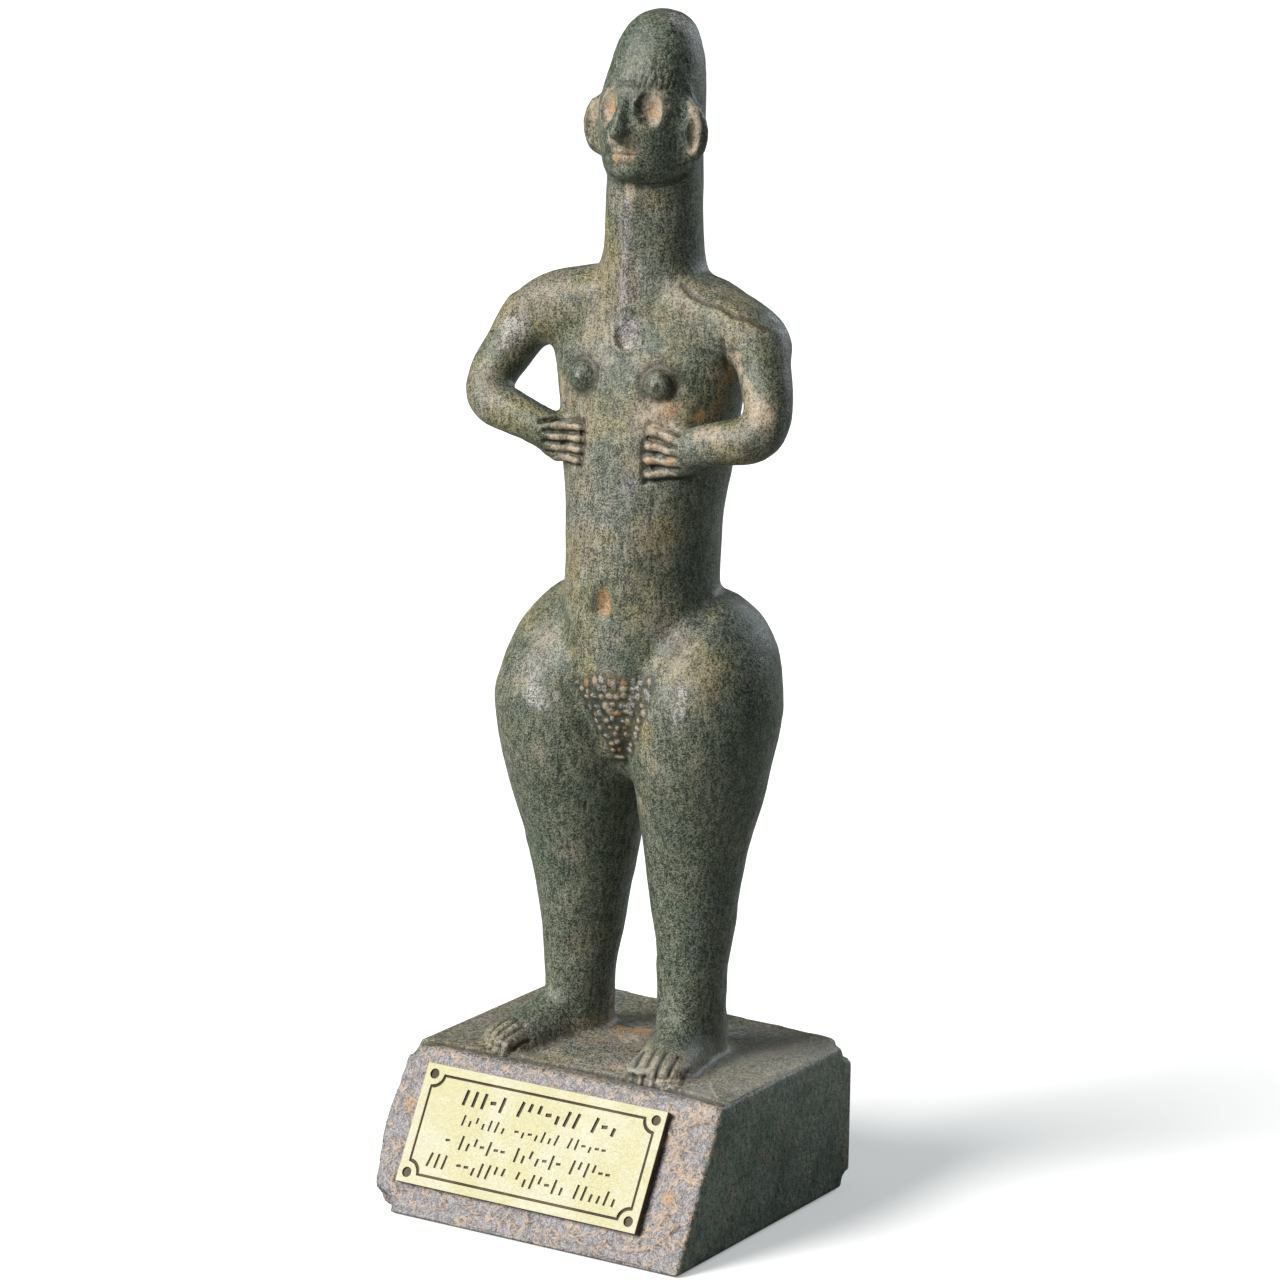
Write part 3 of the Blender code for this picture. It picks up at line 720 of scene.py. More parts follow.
class Skin:
    """The cast's surface as arrays of points, which the carving moves and the staining marks."""

    def __init__(self, thing: Thing, view: PhotoView) -> None:
        """Reads the object's points.

        Args:
            thing: the object.
            view: the camera whose pixels place some of the marks.
        """
        self.thing = thing
        self.view = view
        self.places = np.empty((len(thing.data.vertices), 3))
        self.normals = np.empty_like(self.places)
        self.read()
        self.stains = {stain: np.zeros(len(self.places)) for stain in Stain}

    def read(self) -> None:
        """Reads places and normals anew, and forgets the moves made."""
        mesh = self.thing.data
        flat = np.empty(self.places.size, dtype=np.float32)
        mesh.vertices.foreach_get("co", flat)
        self.places[:] = flat.reshape(-1, 3)
        mesh.vertices.foreach_get("normal", flat)
        self.normals[:] = flat.reshape(-1, 3)
        self.rise = np.zeros(len(self.places))
        self.tree = BVHTree.FromObject(self.thing, bpy.context.evaluated_depsgraph_get())

    def write(self) -> None:
        """Moves the points by what has been carved, and reads them again."""
        self.places += self.normals * self.rise[:, None]
        mesh = self.thing.data
        mesh.vertices.foreach_set("co", self.places.astype(np.float32).ravel())
        mesh.update()
        bpy.context.view_layer.update()
        self.read()

    def figure(self) -> tuple[np.ndarray, np.ndarray, np.ndarray]:
        """Each point's place out, back and up on the figure, in millimetres."""
        moved = (self.places - np.array(FIGURE_PLACE)) / MM
        return moved[:, 0], moved[:, 1], moved[:, 2]

    def front(self, out: float, up: float) -> Vector:
        """The place on the front of the figure at so much out and up, in millimetres."""
        hit = self.tree.ray_cast(at(out, -200, up), Vector((0, 1, 0)))[0]
        return hit if hit else at(out, 0, up)

    def seen(self, across: float, down: float) -> Vector | None:
        """The place that a pixel of the picture shows."""
        return self.tree.ray_cast(Vector(self.view.eye), self.view.ray(across, down))[0]

    def route(self, pixels: Sequence[Row]) -> list[Vector]:
        """The places that a line of pixels shows, with places between them so that it hugs the surface.

        Args:
            pixels: the line's pixels.

        Returns:
            The places.
        """
        made = []
        for (x, y), (right, low) in zip(pixels, pixels[1:]):
            steps = max(1, round(math.hypot(right - x, low - y) / 4))
            made += [self.seen(x + (right - x) * k / steps, y + (low - y) * k / steps) for k in range(steps)]
        made.append(self.seen(*pixels[-1]))
        return [place for place in made if place]

    def reach(self, route: Sequence[Vector], far: float) -> tuple[np.ndarray, np.ndarray]:
        """Finds the points near a line.

        Args:
            route: the line's places.
            far: how far from the line, in metres.

        Returns:
            Numbers of the near points, and their distances.
        """
        line = np.array(route)
        low, high = line.min(0) - far, line.max(0) + far
        near = np.flatnonzero(((self.places > low) & (self.places < high)).all(1))
        found = np.full(len(near), far)
        for start, end in zip(line, line[1:] if len(line) > 1 else line):
            along = end - start
            offset = self.places[near] - start
            share = np.clip(offset @ along / max(along @ along, 1e-12), 0.0, 1.0)
            found = np.minimum(found, np.linalg.norm(offset - share[:, None] * along, axis=1))
        return near, found

    def stroke(self, route: Sequence[Vector], width: float, height: float, stain: Stain | None = None,
               strength: float = 1.0) -> None:
        """Cuts a groove, or lays a ridge, along a line.

        Args:
            route: the line's places.
            width: width of the groove in millimetres.
            height: how high the ridge stands in millimetres, or below 0 how deep the groove is.
            stain: what marks it.
            strength: how strongly.
        """
        if not route:
            return
        near, far = self.reach(route, width * MM)
        profile = np.clip(1 - (far / (width * MM)) ** 2, 0.0, 1.0) ** 2
        self.rise[near] += height * MM * profile
        if stain:
            self.stains[stain][near] = np.maximum(self.stains[stain][near], strength * profile)

    def dab(self, place: Vector | None, radius: float, stain: Stain, strength: float = 1.0,
            height: float = 0.0, stretch: Row = (1.0, 1.0, 1.0)) -> None:
        """Marks a round spot, and raises or sinks it.

        Args:
            place: its middle, in metres.
            radius: its radius in millimetres.
            stain: what marks it.
            strength: how strongly.
            height: how high its middle rises, in millimetres.
            stretch: how much longer it is along each axis.
        """
        if place is None:
            return
        offset = (self.places - np.array(place)) / np.array(stretch) / (radius * MM)
        near = np.flatnonzero((np.abs(offset) < 2).all(1))
        profile = np.exp(-1.4 * (offset[near] ** 2).sum(1))
        self.rise[near] += height * MM * profile
        self.stains[stain][near] = np.maximum(self.stains[stain][near], strength * profile)

    def draw(self, pixels: Rows, *how: object) -> None:
        """Cuts or lays a stroke along a line of the picture's pixels."""
        self.stroke(self.route(pixels), *how)

    def spot(self, out: float, up: float, *how: object, **more: object) -> None:
        """Dabs the front of the figure at so much out and up, in millimetres."""
        self.dab(self.front(out, up), *how, **more)

    def marks(self, spots: dict[Stain, Rows]) -> None:
        """Dabs stains where the picture shows them: pixel across and down, radius and strength.

        Args:
            spots: the rows of each stain.
        """
        for stain, rows in spots.items():
            for across, down, radius, strength in rows:
                self.dab(self.seen(across, down), radius, stain, strength)

    def ring(self, out: float, up: float, wide: float, tall: float) -> list[Vector]:
        """Places around a spot on the front of the figure, in millimetres."""
        return [self.front(out + wide * math.cos(turn), up + tall * math.sin(turn))
                for turn in np.linspace(0, math.tau, 25)]

    def wipe(self, place: Vector | None, radius: float) -> None:
        """Takes all pale and orange dirt, and painted highlight, off a round spot of so many millimetres.

        Args:
            place: the place, in metres.
            radius: its radius in millimetres.
        """
        if place is None:
            return
        far = np.linalg.norm(self.places - np.array(place), axis=1) / (radius * MM)
        for stain in (CREAM_AND_LIT, RUST, SHEEN_AND_RUBBED):
            self.stains[stain] *= ease(0.5, 1.3, far)

    def scoop(self, middle: Vector, size: Row, turn: float, ways: Row = (0.0, 1.0, 0.0)) -> None:
        """Presses an egg's shape into the surface.

        Args:
            middle: the egg's middle, in metres.
            size: its half-sizes in millimetres.
            turn: its turn about the upright axis, in degrees.
            ways: the way in which the surface gives.
        """
        spin = np.array(Euler((0.0, 0.0, -math.radians(turn))).to_matrix())
        offset = (self.places - np.array(middle)) @ spin.T / (np.array(size) * MM)
        push = spin @ np.array(ways) / (np.array(size) * MM)
        inside = np.flatnonzero((offset ** 2).sum(1) < 1)
        a = push @ push
        b = offset[inside] @ push
        c = (offset[inside] ** 2).sum(1) - 1
        far = (-b + np.sqrt(np.maximum(b * b - a * c, 0))) / a
        self.places[inside] += far[:, None] * np.array(ways)

    def roughen(self, wave: float, height: float, seed: float, where: np.ndarray) -> None:
        """Makes the surface uneven.

        Args:
            wave: length of the waves in millimetres.
            height: their height in millimetres.
            seed: shifts the pattern.
            where: how much of it each point takes.
        """
        shift = Vector((seed, -seed, 2 * seed))
        waves = np.array([noise.noise(Vector(place) / (wave * MM) + shift) for place in self.places])
        self.rise += waves * height * MM * where

    def curvature(self) -> None:
        """Marks convex points as worn and concave ones for painted shade and dirt."""
        mesh = self.thing.data
        pairs = np.empty(2 * len(mesh.edges), dtype=np.int32)
        mesh.edges.foreach_get("vertices", pairs)
        start, end = pairs.reshape(-1, 2).T
        count = np.bincount(pairs, minlength=len(self.places))
        bend = np.zeros(len(self.places))
        step = self.places[end] - self.places[start]
        length = np.maximum(np.linalg.norm(step, axis=1), 1e-7)
        for here, sign in ((start, 1), (end, -1)):
            lean = sign * (step * self.normals[here]).sum(1) / length
            bend += np.bincount(here, weights=lean, minlength=len(bend))
        bend /= count
        for _ in range(3):
            total = np.bincount(start, weights=bend[end], minlength=len(bend))
            total += np.bincount(end, weights=bend[start], minlength=len(bend))
            bend = 0.5 * bend + 0.5 * total / count
        self.stains[WORN_AND_LIT] = np.maximum(self.stains[WORN_AND_LIT], 0.65 * ease(0.06, 0.30, -bend))
        self.stains[HOLLOW_SHADE_AND_DIRT] = ease(0.04, 0.22, bend)

    def store(self) -> None:
        """Keeps the stains as point attributes of the mesh."""
        for stain, values in self.stains.items():
            layer = self.thing.data.attributes.new(stain.value, "FLOAT", "POINT")
            layer.data.foreach_set("value", np.clip(values, 0, 1).astype(np.float32))


@dataclass(frozen=True)
class Cast:
    """Figure and block, cast in one: the piece that stands for the whole body."""

    figure: Figure
    block: Block
    view: PhotoView
    blend_cell: float = 1.1         # cells that fuse the figure's forms, in millimetres
    cell: float = 0.9               # cells of the finished skin
    loose_faces: int = 50_000       # triangles outside the finely carved places
    under_plate: Row = (-0.0425, 0.0342, 0.0118, 0.0362)    # what the plate hides of the front: sideways and up
    seed: int = 11

    def build(self) -> Thing:
        """Fuses, carves and stains the cast.

        Returns:
            The finished piece, without its finish.
        """
        figure = joined("figure", self.figure.forms())
        modify(figure, "REMESH", mode="VOXEL", voxel_size=self.blend_cell * MM)
        modify(figure, "SMOOTH", factor=0.5, iterations=8)
        first = Skin(figure, self.view)
        carving = self.figure.raised(lambda out, up: (first.front(out, up).y - FIGURE_PLACE.y) / MM)
        cast = joined("cast", [figure, *carving, *self.block.build()])
        modify(cast, "REMESH", mode="VOXEL", voxel_size=self.cell * MM)
        modify(cast, "SMOOTH", factor=0.5, iterations=2)
        self.thin_out(cast)
        self.refine(cast)
        skin = Skin(cast, self.view)
        self.sink(skin)
        self.uneven(skin)
        skin.write()
        self.carve(skin)
        self.tone(skin)
        skin.write()
        skin.curvature()
        self.fit(skin)
        skin.store()
        only(cast)
        bpy.ops.object.shade_smooth()
        LOG.info("cast: %d points, %d faces", len(cast.data.vertices), len(cast.data.polygons))
        return cast

    def fine(self, place: Vector) -> bool:
        """Whether a place lies where the carving is fine.

        Args:
            place: the place, in metres.

        Returns:
            Whether it does.
        """
        x, y, z = (place - FIGURE_PLACE) / MM
        if z > 248:             # face and hair
            return y < 3 and z < 289
        if 166 < z < 187:       # hands
            return y < -12 and abs(x) < 31
        if 82 < z < 111:        # the punched triangle
            return y < -10 and abs(x) < 13.5
        if 187 <= z < 200:      # nipples
            return y < -8 and math.hypot(abs(x) - 12.2, z - 194.6) < 6
        if 200 <= z < 222:      # the pit, and the crease of the left shoulder
            return y < -3 and (math.hypot(x - 0.8, z - 207) < 7 or 15 < x < 40)
        if 222 <= z <= 248:     # the keel of the neck
            return y < 0 and abs(x) < 3
        if z > -0.5:            # feet
            return z < 7 and y < -22
        left, right, low, high = self.under_plate      # the rest is the block's sloping front
        if left < place.x < right and low < place.z < high:
            return False
        return y < -35.8 + 23.8 * z / 43.2 and z > -42

    def pick(self, cast: Thing, fine: bool) -> int:
        """Opens the cast in edit mode with one kind of its faces selected.

        Args:
            cast: the cast.
            fine: whether the finely carved faces are selected, or all others.

        Returns:
            How many faces are selected.
        """
        only(cast)
        bpy.ops.object.mode_set(mode="EDIT")
        bpy.ops.mesh.select_mode(type="FACE")
        bpy.ops.mesh.select_all(action="DESELECT")
        bpy.ops.object.mode_set(mode="OBJECT")
        picked = [self.fine(face.center) == fine for face in cast.data.polygons]
        cast.data.polygons.foreach_set("select", picked)
        bpy.ops.object.mode_set(mode="EDIT")
        return sum(picked)

    def thin_out(self, cast: Thing) -> None:
        """Takes faces out where the surface is plain.

        Args:
            cast: the cast.
        """
        plain = self.pick(cast, False)
        bpy.ops.mesh.decimate(ratio=min(1.0, self.loose_faces / (2 * plain)))
        bpy.ops.object.mode_set(mode="OBJECT")

    def refine(self, cast: Thing) -> None:
        """Divides the faces where the carving is fine.

        Args:
            cast: the cast.
        """
        self.pick(cast, True)
        bpy.ops.mesh.subdivide(number_cuts=1, smoothness=0.0)
        bpy.ops.mesh.select_all(action="SELECT")
        bpy.ops.mesh.quads_convert_to_tris()
        bpy.ops.object.mode_set(mode="OBJECT")

    def sink(self, skin: Skin) -> None:
        """Presses the hollows in: eye sockets, ear hollows, navel and the pit at the breastbone.

        Args:
            skin: the cast's surface.
        """
        eye, ear = self.figure.eye_height, self.figure.ear[0][2]
        skin.scoop(skin.front(0, self.figure.navel), (2.9, 2.4, 3.2), 0)
        pit = skin.front(0.8, 207.0)
        skin.scoop(pit + Vector((0, -0.5 * MM, 0)), (4.2, 1.9, 4.2), 0)
        for side in (-1, 1):
            socket = skin.front(side * 6.5 + 0.5, eye) + Vector((0, 0.2 * MM, 0))
            skin.scoop(socket, (3.8, 2.2, 5.6), side * 20)
            skin.scoop(at(side * 17.2, -6.9, ear), (1.8, 2.2, 6.0), side * 12)
        skin.write()

    def uneven(self, skin: Skin) -> None:
        """Gives the surface the soft unevenness of a hand-made model.

        Args:
            skin: the cast's surface.
        """
        _, _, up = skin.figure()
        shown = ease(0.0006, 0.003, skin.places[:, 2])
        body = ease(0, 10, up)
        legs = body * (1 - ease(70, 100, up))
        for wave, height, seed, where in (
                (16, 0.45, 3.1, body * shown), (5, 0.16, 7.7, (0.5 + 0.5 * body) * shown), (6.5, 0.26, 2.2, legs),
                (2.6, 0.13, 6.1, legs), (1.9, 0.09, 5.3, shown), (9, 0.30, 9.4, (1 - body) * shown)):
            skin.roughen(wave, height, seed, where)

    def carve(self, skin: Skin) -> None:
        """Cuts and stains the fine carving.

        Args:
            skin: the cast's surface.
        """
        dice = random.Random(self.seed)
        self.carve_head(skin, dice)
        self.carve_chest(skin)
        self.carve_hands(skin)
        self.carve_belly(skin, dice)
        self.carve_feet(skin, dice)
        self.carve_block(skin, dice)

    def around_head(self, skin: Skin, angle: float, up: float) -> Vector:
        """The place on the head at an angle from its front, in radians, and a height.

        Args:
            skin: the cast's surface.
            angle: angle from the front, in radians.
            up: height in millimetres.

        Returns:
            The place.
        """
        axis = at(0, 3.5, up)
        way = Vector((math.sin(angle), -math.cos(angle), 0.0))
        hit = skin.tree.ray_cast(axis + way * 0.06, -way)[0]
        return hit if hit else axis

    def carve_head(self, skin: Skin, dice: random.Random) -> None:
        """Hair strokes, sockets, mouth and ears, with painted shadow beside the nose and under the jaw, and painted
        highlights on the crown and the nose tip.

        Args:
            skin: the cast's surface.
            dice: draws the small differences.
        """
        for tier, (low, high) in enumerate(((275.6, 278.8), (278.8, 282.0), (282.0, 285.4), (285.4, 288.8),
                                            (288.8, 291.6), (291.4, 293.6))):
            count = (60, 58, 52, 44, 34, 22)[tier]
            for step in range(count):
                angle = math.tau * (step + 0.5 * (tier % 2) + dice.uniform(-0.18, 0.18)) / count
                if abs(angle - math.pi) < 0.6 and tier < 2:
                    continue
                lean = 0.10 * math.sin(angle) + dice.uniform(-0.03, 0.03)
                start = low + dice.uniform(-0.5, 0.5)
                end = high + dice.uniform(-0.5, 0.5)
                route = [self.around_head(skin, angle + lean * share, start + (end - start) * share)
                         for share in (0.0, 0.5, 1.0)]
                bold = max(0.0, math.cos(1.5 * (angle - 0.2))) * (1.0, 0.5, 0.25, 0.1, 0.0, 0.0)[tier]
                bold *= abs(angle - 0.2) < 1.0 or abs(angle - math.tau) < 0.8
                skin.stroke(route, 0.42, -0.03 - 0.20 * bold, SOOT_AND_SHADE, 0.05 + 0.75 * bold)
        mouth, eye = self.figure.mouth_height, self.figure.eye_height
        skin.stroke([skin.front(x, mouth) for x in (-3.2, 0, 3.2)], 0.7, -0.5, SOOT_AND_SHADE, 0.7)
        for x in (-2.4, -0.8, 0.8, 2.4):
            skin.spot(x, mouth + 1.3, 1.5, RUST, 0.45)
            skin.spot(x, mouth - 1.3, 1.5, RUST, 0.5)
            skin.spot(0.8 * x, mouth, 2.2, CREAM_AND_LIT, 0.8)
        for side in (-1, 1):
            skin.spot(side * 6.5 + 0.5, eye, 4.6, CREAM_AND_LIT, 1.0, stretch=(0.9, 1.4, 1.3))
            skin.spot(side * 6.7 + 0.5, eye - 1.2, 2.4, RUST, 0.7)
            skin.stroke(skin.ring(side * 6.5 + 0.5, eye, 4.3, 6.1), 1.2, 0.12)
        # painted shadow: dark dabs along the nose's flank, with the pale dirt wiped off there
        for pixel in ((639, 95), (638, 104), (639, 113), (642, 120)):
            skin.wipe(skin.seen(*pixel), 1.5)
            skin.dab(skin.seen(*pixel), 1.8, SOOT_AND_SHADE, 0.9)
        skin.draw(((616, 84), (630, 83), (645, 85), (658, 85), (668, 88)), 1.2, -0.35, SOOT_AND_SHADE, 0.6)
        skin.marks({
            CREAM_AND_LIT: ((612, 140, 3, 0.7), (628, 140, 2.6, 0.55), (630, 190, 3.2, 0.6), (645, 192, 3, 0.35),
                (594, 110, 4.6, 0.7)),
            KHAKI_AND_LIT: ((592, 125, 5, 1), (597, 140, 4, 1), (600, 138, 3, 0.8), (645, 128, 3, 0.5), (634, 60, 6, 0.35),
                (655, 60, 5, 0.3), (620, 165, 5, 0.4), (632, 150, 5, 0.5)),
            # painted highlights: glints on the crown and the nose tip
            SHEEN_AND_RUBBED: ((679, 19, 3.6, 1), (688, 32, 3, 0.5), (628, 126, 1.2, 0.8)),
            MOSS: ((640, 34, 9, 0.7), (670, 30, 8, 0.5), (665, 145, 7, 0.8), (630, 112, 2.6, 0.9),
                (668, 118, 3, 0.7), (690, 90, 6, 0.5), (680, 60, 6, 0.6)),
        })
        skin.draw(((690, 101), (696, 112), (701, 124), (700, 138), (696, 149), (690, 158)), 1.6, 0.25)
        skin.draw(((692, 104), (694, 114), (696, 126), (695, 138), (692, 150)), 2.4, 0.0, CREAM_AND_LIT, 1.0)
        for pixel in ((705, 112), (707, 124), (706, 138), (701, 150)):
            skin.dab(skin.seen(*pixel), 1.8, MOSS, 1.0)
        skin.draw(((688, 84), (691, 93), (695, 103), (701, 112)), 1.2, 0.2, CREAM_AND_LIT, 0.3)
        # painted shade: a dark line under the jaw's overhang, in a shallow groove
        skin.draw(((612, 176), (624, 183), (640, 186), (655, 186), (670, 183), (684, 176)), 1.6, -0.35, SOOT_AND_SHADE, 0.9)

    def carve_chest(self, skin: Skin) -> None:
        """Keel of the neck, pit, shoulder crease, nipple rings and armpits, with painted highlights on the pit,
        nipples, arms and shoulder.

        Args:
            skin: the cast's surface.
        """
        keel = [skin.front(-0.3, up) for up in range(243, 212, -2)]
        skin.stroke(keel, 3.2, 0.7, MAUVE, 0.6)
        skin.stroke(skin.ring(0.8, 207, 4.6, 4.6), 1.6, 0.3)
        # the glossy spots round the pit are painted highlights
        for spot in ((0.2, 207.5, 5.2, MAUVE, 0.9), (-0.6, 208.4, 3.4, SHEEN_AND_RUBBED, 0.55), (-1.4, 212.5, 2.6, SHEEN_AND_RUBBED, 0.4),
                     (0.6, 203.6, 2.0, SHEEN_AND_RUBBED, 0.5), (6.4, 206.0, 4.4, MOSS, 0.9), (0.4, 200.6, 3.2, MOSS, 0.8)):
            skin.spot(*spot)
        skin.draw(((682, 285), (692, 295), (704, 302), (722, 308), (736, 317), (750, 320),
                   (764, 329)), 1.5, -0.3, SOOT_AND_SHADE, 1.0)
        out, up = self.figure.nipple
        for side in (-1, 1):
            skin.stroke(skin.ring(side * out, up, 5, 5), 2.2, -0.45, SOOT_AND_SHADE, 0.7)
            # painted highlight on each nipple
            skin.spot(side * out - 0.4, up + 0.6, 1.7, SHEEN_AND_RUBBED, 0.4)
            skin.spot(side * out, up, 6.4, MOSS, 0.95)
        skin.draw(((722, 342), (724, 356), (726, 368)), 1.6, -0.5, SOOT_AND_SHADE, 0.8)
        skin.marks({
            CREAM_AND_LIT: ((652, 418, 6, 0.8), (664, 418, 5.6, 0.7), (648, 428, 3.6, 0.7), (700, 434, 3.2, 0.8),
                (714, 432, 3, 0.8), (760, 414, 5.2, 0.75), (752, 400, 3.4, 0.6), (716, 289, 4, 0.35),
                (738, 298, 4.6, 0.35), (735, 358, 2.6, 0.9), (740, 370, 2.4, 0.9), (746, 384, 2.4, 0.7),
                (748, 398, 2.6, 0.6), (545, 340, 3, 0.7), (562, 388, 4, 0.7), (610, 360, 4, 0.3),
                (640, 360, 4.4, 0.35), (735, 335, 6, 0.25)),
            RUST: ((668, 410, 4.4, 0.55), (758, 412, 5, 0.35), (570, 400, 3.4, 0.35), (728, 376, 4.4, 0.55),
                (722, 400, 5, 0.45), (716, 420, 4.4, 0.4), (700, 418, 1.6, 0.9)),
            KHAKI_AND_LIT: ((726, 293, 7, 0.9), (745, 300, 6, 0.9), (728, 385, 8, 0.9), (722, 360, 6, 0.9)),
            SOOT_AND_SHADE: ((730, 420, 4.4, 0.5), (698, 412, 3, 0.9), (690, 424, 2, 0.9), (672, 378, 6, 0.45)),
            # painted highlights on the arms, the pit, the shoulder's end and a hand
            SHEEN_AND_RUBBED: ((773, 316, 2.2, 1), (515, 330, 5, 0.75), (632, 330, 3.6, 0.7), (640, 345, 2.6, 0.5),
                (522, 318, 3, 0.5), (505, 345, 3.5, 0.5), (780, 318, 2.6, 0.7), (786, 330, 2, 0.6),
                (626, 300, 2.4, 0.45), (741, 345, 3, 0.35), (560, 455, 2.6, 0.5)),
            MOSS: ((678, 60, 7, 0.7), (690, 368, 8, 0.7), (700, 390, 7, 0.75), (655, 300, 7, 0.5),
                (655, 340, 5, 0.6), (757, 362, 9, 0.7), (735, 395, 6, 0.8), (780, 380, 9, 0.8), (690, 250, 9, 0.9),
                (672, 240, 6, 0.5), (500, 360, 6, 0.4), (620, 420, 6, 0.3), (625, 440, 6, 0.3), (700, 440, 4, 0.5),
                (750, 440, 7, 0.5)),
        })

    def carve_hands(self, skin: Skin) -> None:
        """Grooves between the fingers, their tips and the wrists.

        Args:
            skin: the cast's surface.
        """
        for side in (-1, 1):
            for gap in range(self.figure.fingers + 1):
                row = self.figure.fingers / 2 - gap
                shares = (0.0, 0.25, 0.5, 0.75, 1.0)
                route = [skin.front(*self.figure.finger_line(side, row, share)) for share in shares]
                skin.stroke(route, 1.0, -0.75, SOOT_AND_SHADE, 1.0)
                bar = [skin.front(*self.figure.finger_line(side, row - 0.5, share)) for share in shares[1:]]
                if gap < self.figure.fingers:
                    skin.stroke(bar, 1.4, 0.2, CREAM_AND_LIT, 0.8)
            tips = [skin.front(*self.figure.finger_line(side, row, 1.07)) for row in (2.0, 1.0, 0.0, -1.0, -2.0)]
            skin.stroke(tips, 1.3, -0.6, SOOT_AND_SHADE, 1.0)
        skin.draw(((541, 421), (556, 419), (578, 419)), 1.4, -0.6, SOOT_AND_SHADE, 1.0)
        skin.marks({
            RUST: ((655, 446, 2.4, 0.5), (670, 460, 3, 0.5), (650, 462, 2.6, 0.45)),
            CREAM_AND_LIT: ((562, 452, 2.4, 0.9), (700, 452, 3.6, 0.35), (720, 440, 4, 0.35)),
        })

    def carve_belly(self, skin: Skin, dice: random.Random) -> None:
        """Navel, the folds of the groin and the punched triangle between them, with painted highlights on the
        thighs and round the navel.

        Args:
            skin: the cast's surface.
            dice: draws the small differences.
        """
        navel = skin.front(0, self.figure.navel)
        skin.dab(navel, 3.2, RUST, 1.0, stretch=(1, 1, 1.3))
        skin.dab(navel, 2.4, CREAM_AND_LIT, 0.5)
        skin.spot(-3.1, self.figure.navel, 1.2, SOOT_AND_SHADE, 1.0, stretch=(1, 1, 2.6))
        skin.draw(((540, 640), (556, 668), (574, 700), (596, 738), (618, 762)), 4.4, -0.7)
        skin.draw(((712, 604), (696, 632), (672, 664), (652, 692), (640, 720), (630, 750)), 4.4, -0.7)
        rows = 11
        for row in range(rows):
            share = row / (rows - 1)
            down = 681 + 77 * share
            left, right = 577 + 42 * share, 650 - 25 * share
            count = max(2, round((right - left) / 7.8) + 1)
            for step in range(count):
                across = left + (right - left) * step / (count - 1) + dice.uniform(-2.4, 2.4)
                place = skin.seen(across, down + dice.uniform(-2, 2) + 3 * abs(step / (count - 1) - 0.5))
                kind = dice.choice((SHEEN_AND_RUBBED,) * 4 + (CREAM_AND_LIT,) * 5 + (RUST,))
                shape = (dice.uniform(0.7, 1.4), 1.0, dice.uniform(0.7, 1.3))
                skin.dab(place, dice.uniform(0.75, 1.15), kind, 1.0, height=0.5, stretch=shape)
                skin.dab(place, 3.0, SOOT_AND_SHADE, 0.85)
        skin.marks({
            # painted highlights on both thighs and round the navel
            SHEEN_AND_RUBBED: ((533, 696, 4.4, 0.75), (529, 678, 3.4, 0.5), (540, 704, 2.6, 0.6), (683, 694, 2.6, 0.75),
                (679, 710, 3.2, 0.6), (676, 722, 2.4, 0.4), (622, 588, 2.6, 0.6), (612, 620, 3.4, 0.35),
                (606, 575, 3, 0.3)),
            CREAM_AND_LIT: ((617, 590, 2.2, 0.8), (570, 655, 5, 0.3)),
            KHAKI_AND_LIT: ((645, 730, 4, 1), (650, 760, 5, 1), (600, 640, 6, 0.6), (575, 895, 9, 0.45),
                (572, 850, 8, 0.4), (584, 940, 8, 0.45), (690, 900, 7, 0.3), (640, 800, 5, 0.9),
                (640, 840, 5, 0.6), (530, 640, 7, 0.4), (560, 620, 6, 1)),
            MAUVE: ((630, 487, 3, 0.8), (720, 520, 8, 0.3), (745, 610, 4, 0.5), (600, 520, 7, 0.25)),
            MOSS: ((645, 565, 4.5, 0.8), (640, 645, 6, 0.7), (625, 665, 5, 0.6), (575, 690, 5, 0.9),
                (590, 705, 5, 0.8), (695, 560, 9, 0.9), (695, 500, 9, 0.8), (735, 620, 8, 0.8), (665, 650, 6, 0.5),
                (740, 720, 16, 0.8), (560, 740, 8, 0.5), (548, 612, 10, 0.7), (525, 645, 8, 0.5)),
        })

    def carve_feet(self, skin: Skin, dice: random.Random) -> None:
        """Grooves between the toes, the scratches beside them, the dirt around them and painted shadow under the
        right foot.

        Args:
            skin: the cast's surface.
            dice: draws the small differences.
        """
        for side in (-1, 1):
            ankle, turn = self.figure.foot_place(side)
            forward = Vector((math.sin(turn), -math.cos(turn), 0.0))
            outward = Vector((math.cos(turn), math.sin(turn), 0.0))
            for gap in range(self.figure.toes + 1):
                row = gap - self.figure.toes / 2
                route = []
                for reach in (22.5, 25.5, 28.5, 31.5):
                    spot = ankle + forward * reach * MM + outward * row * self.figure.toe_pitch * MM * 0.96
                    hit = skin.tree.ray_cast(spot + Vector((0, 0, 0.02)), Vector((0, 0, -1)))[0]
                    route.append(hit if hit else spot)
                skin.stroke(route, 0.9, -0.6, SOOT_AND_SHADE, 0.9)
                if gap < self.figure.toes:
                    ridge = [place + outward * self.figure.toe_pitch * MM / 2 for place in route[1:]]
                    skin.stroke(ridge, 0.8, 0.15, CREAM_AND_LIT, dice.uniform(0.4, 0.9))
        for start, end in (((655, 1081), (700, 1079)), ((662, 1086), (716, 1083)), ((700, 1088), (722, 1079))):
            skin.draw((start, end), 0.8, -0.2, CREAM_AND_LIT, 0.6)
        skin.draw(((709, 1070), (716, 1078), (711, 1088), (718, 1098)), 0.7, 0.2, CREAM_AND_LIT, 0.9)
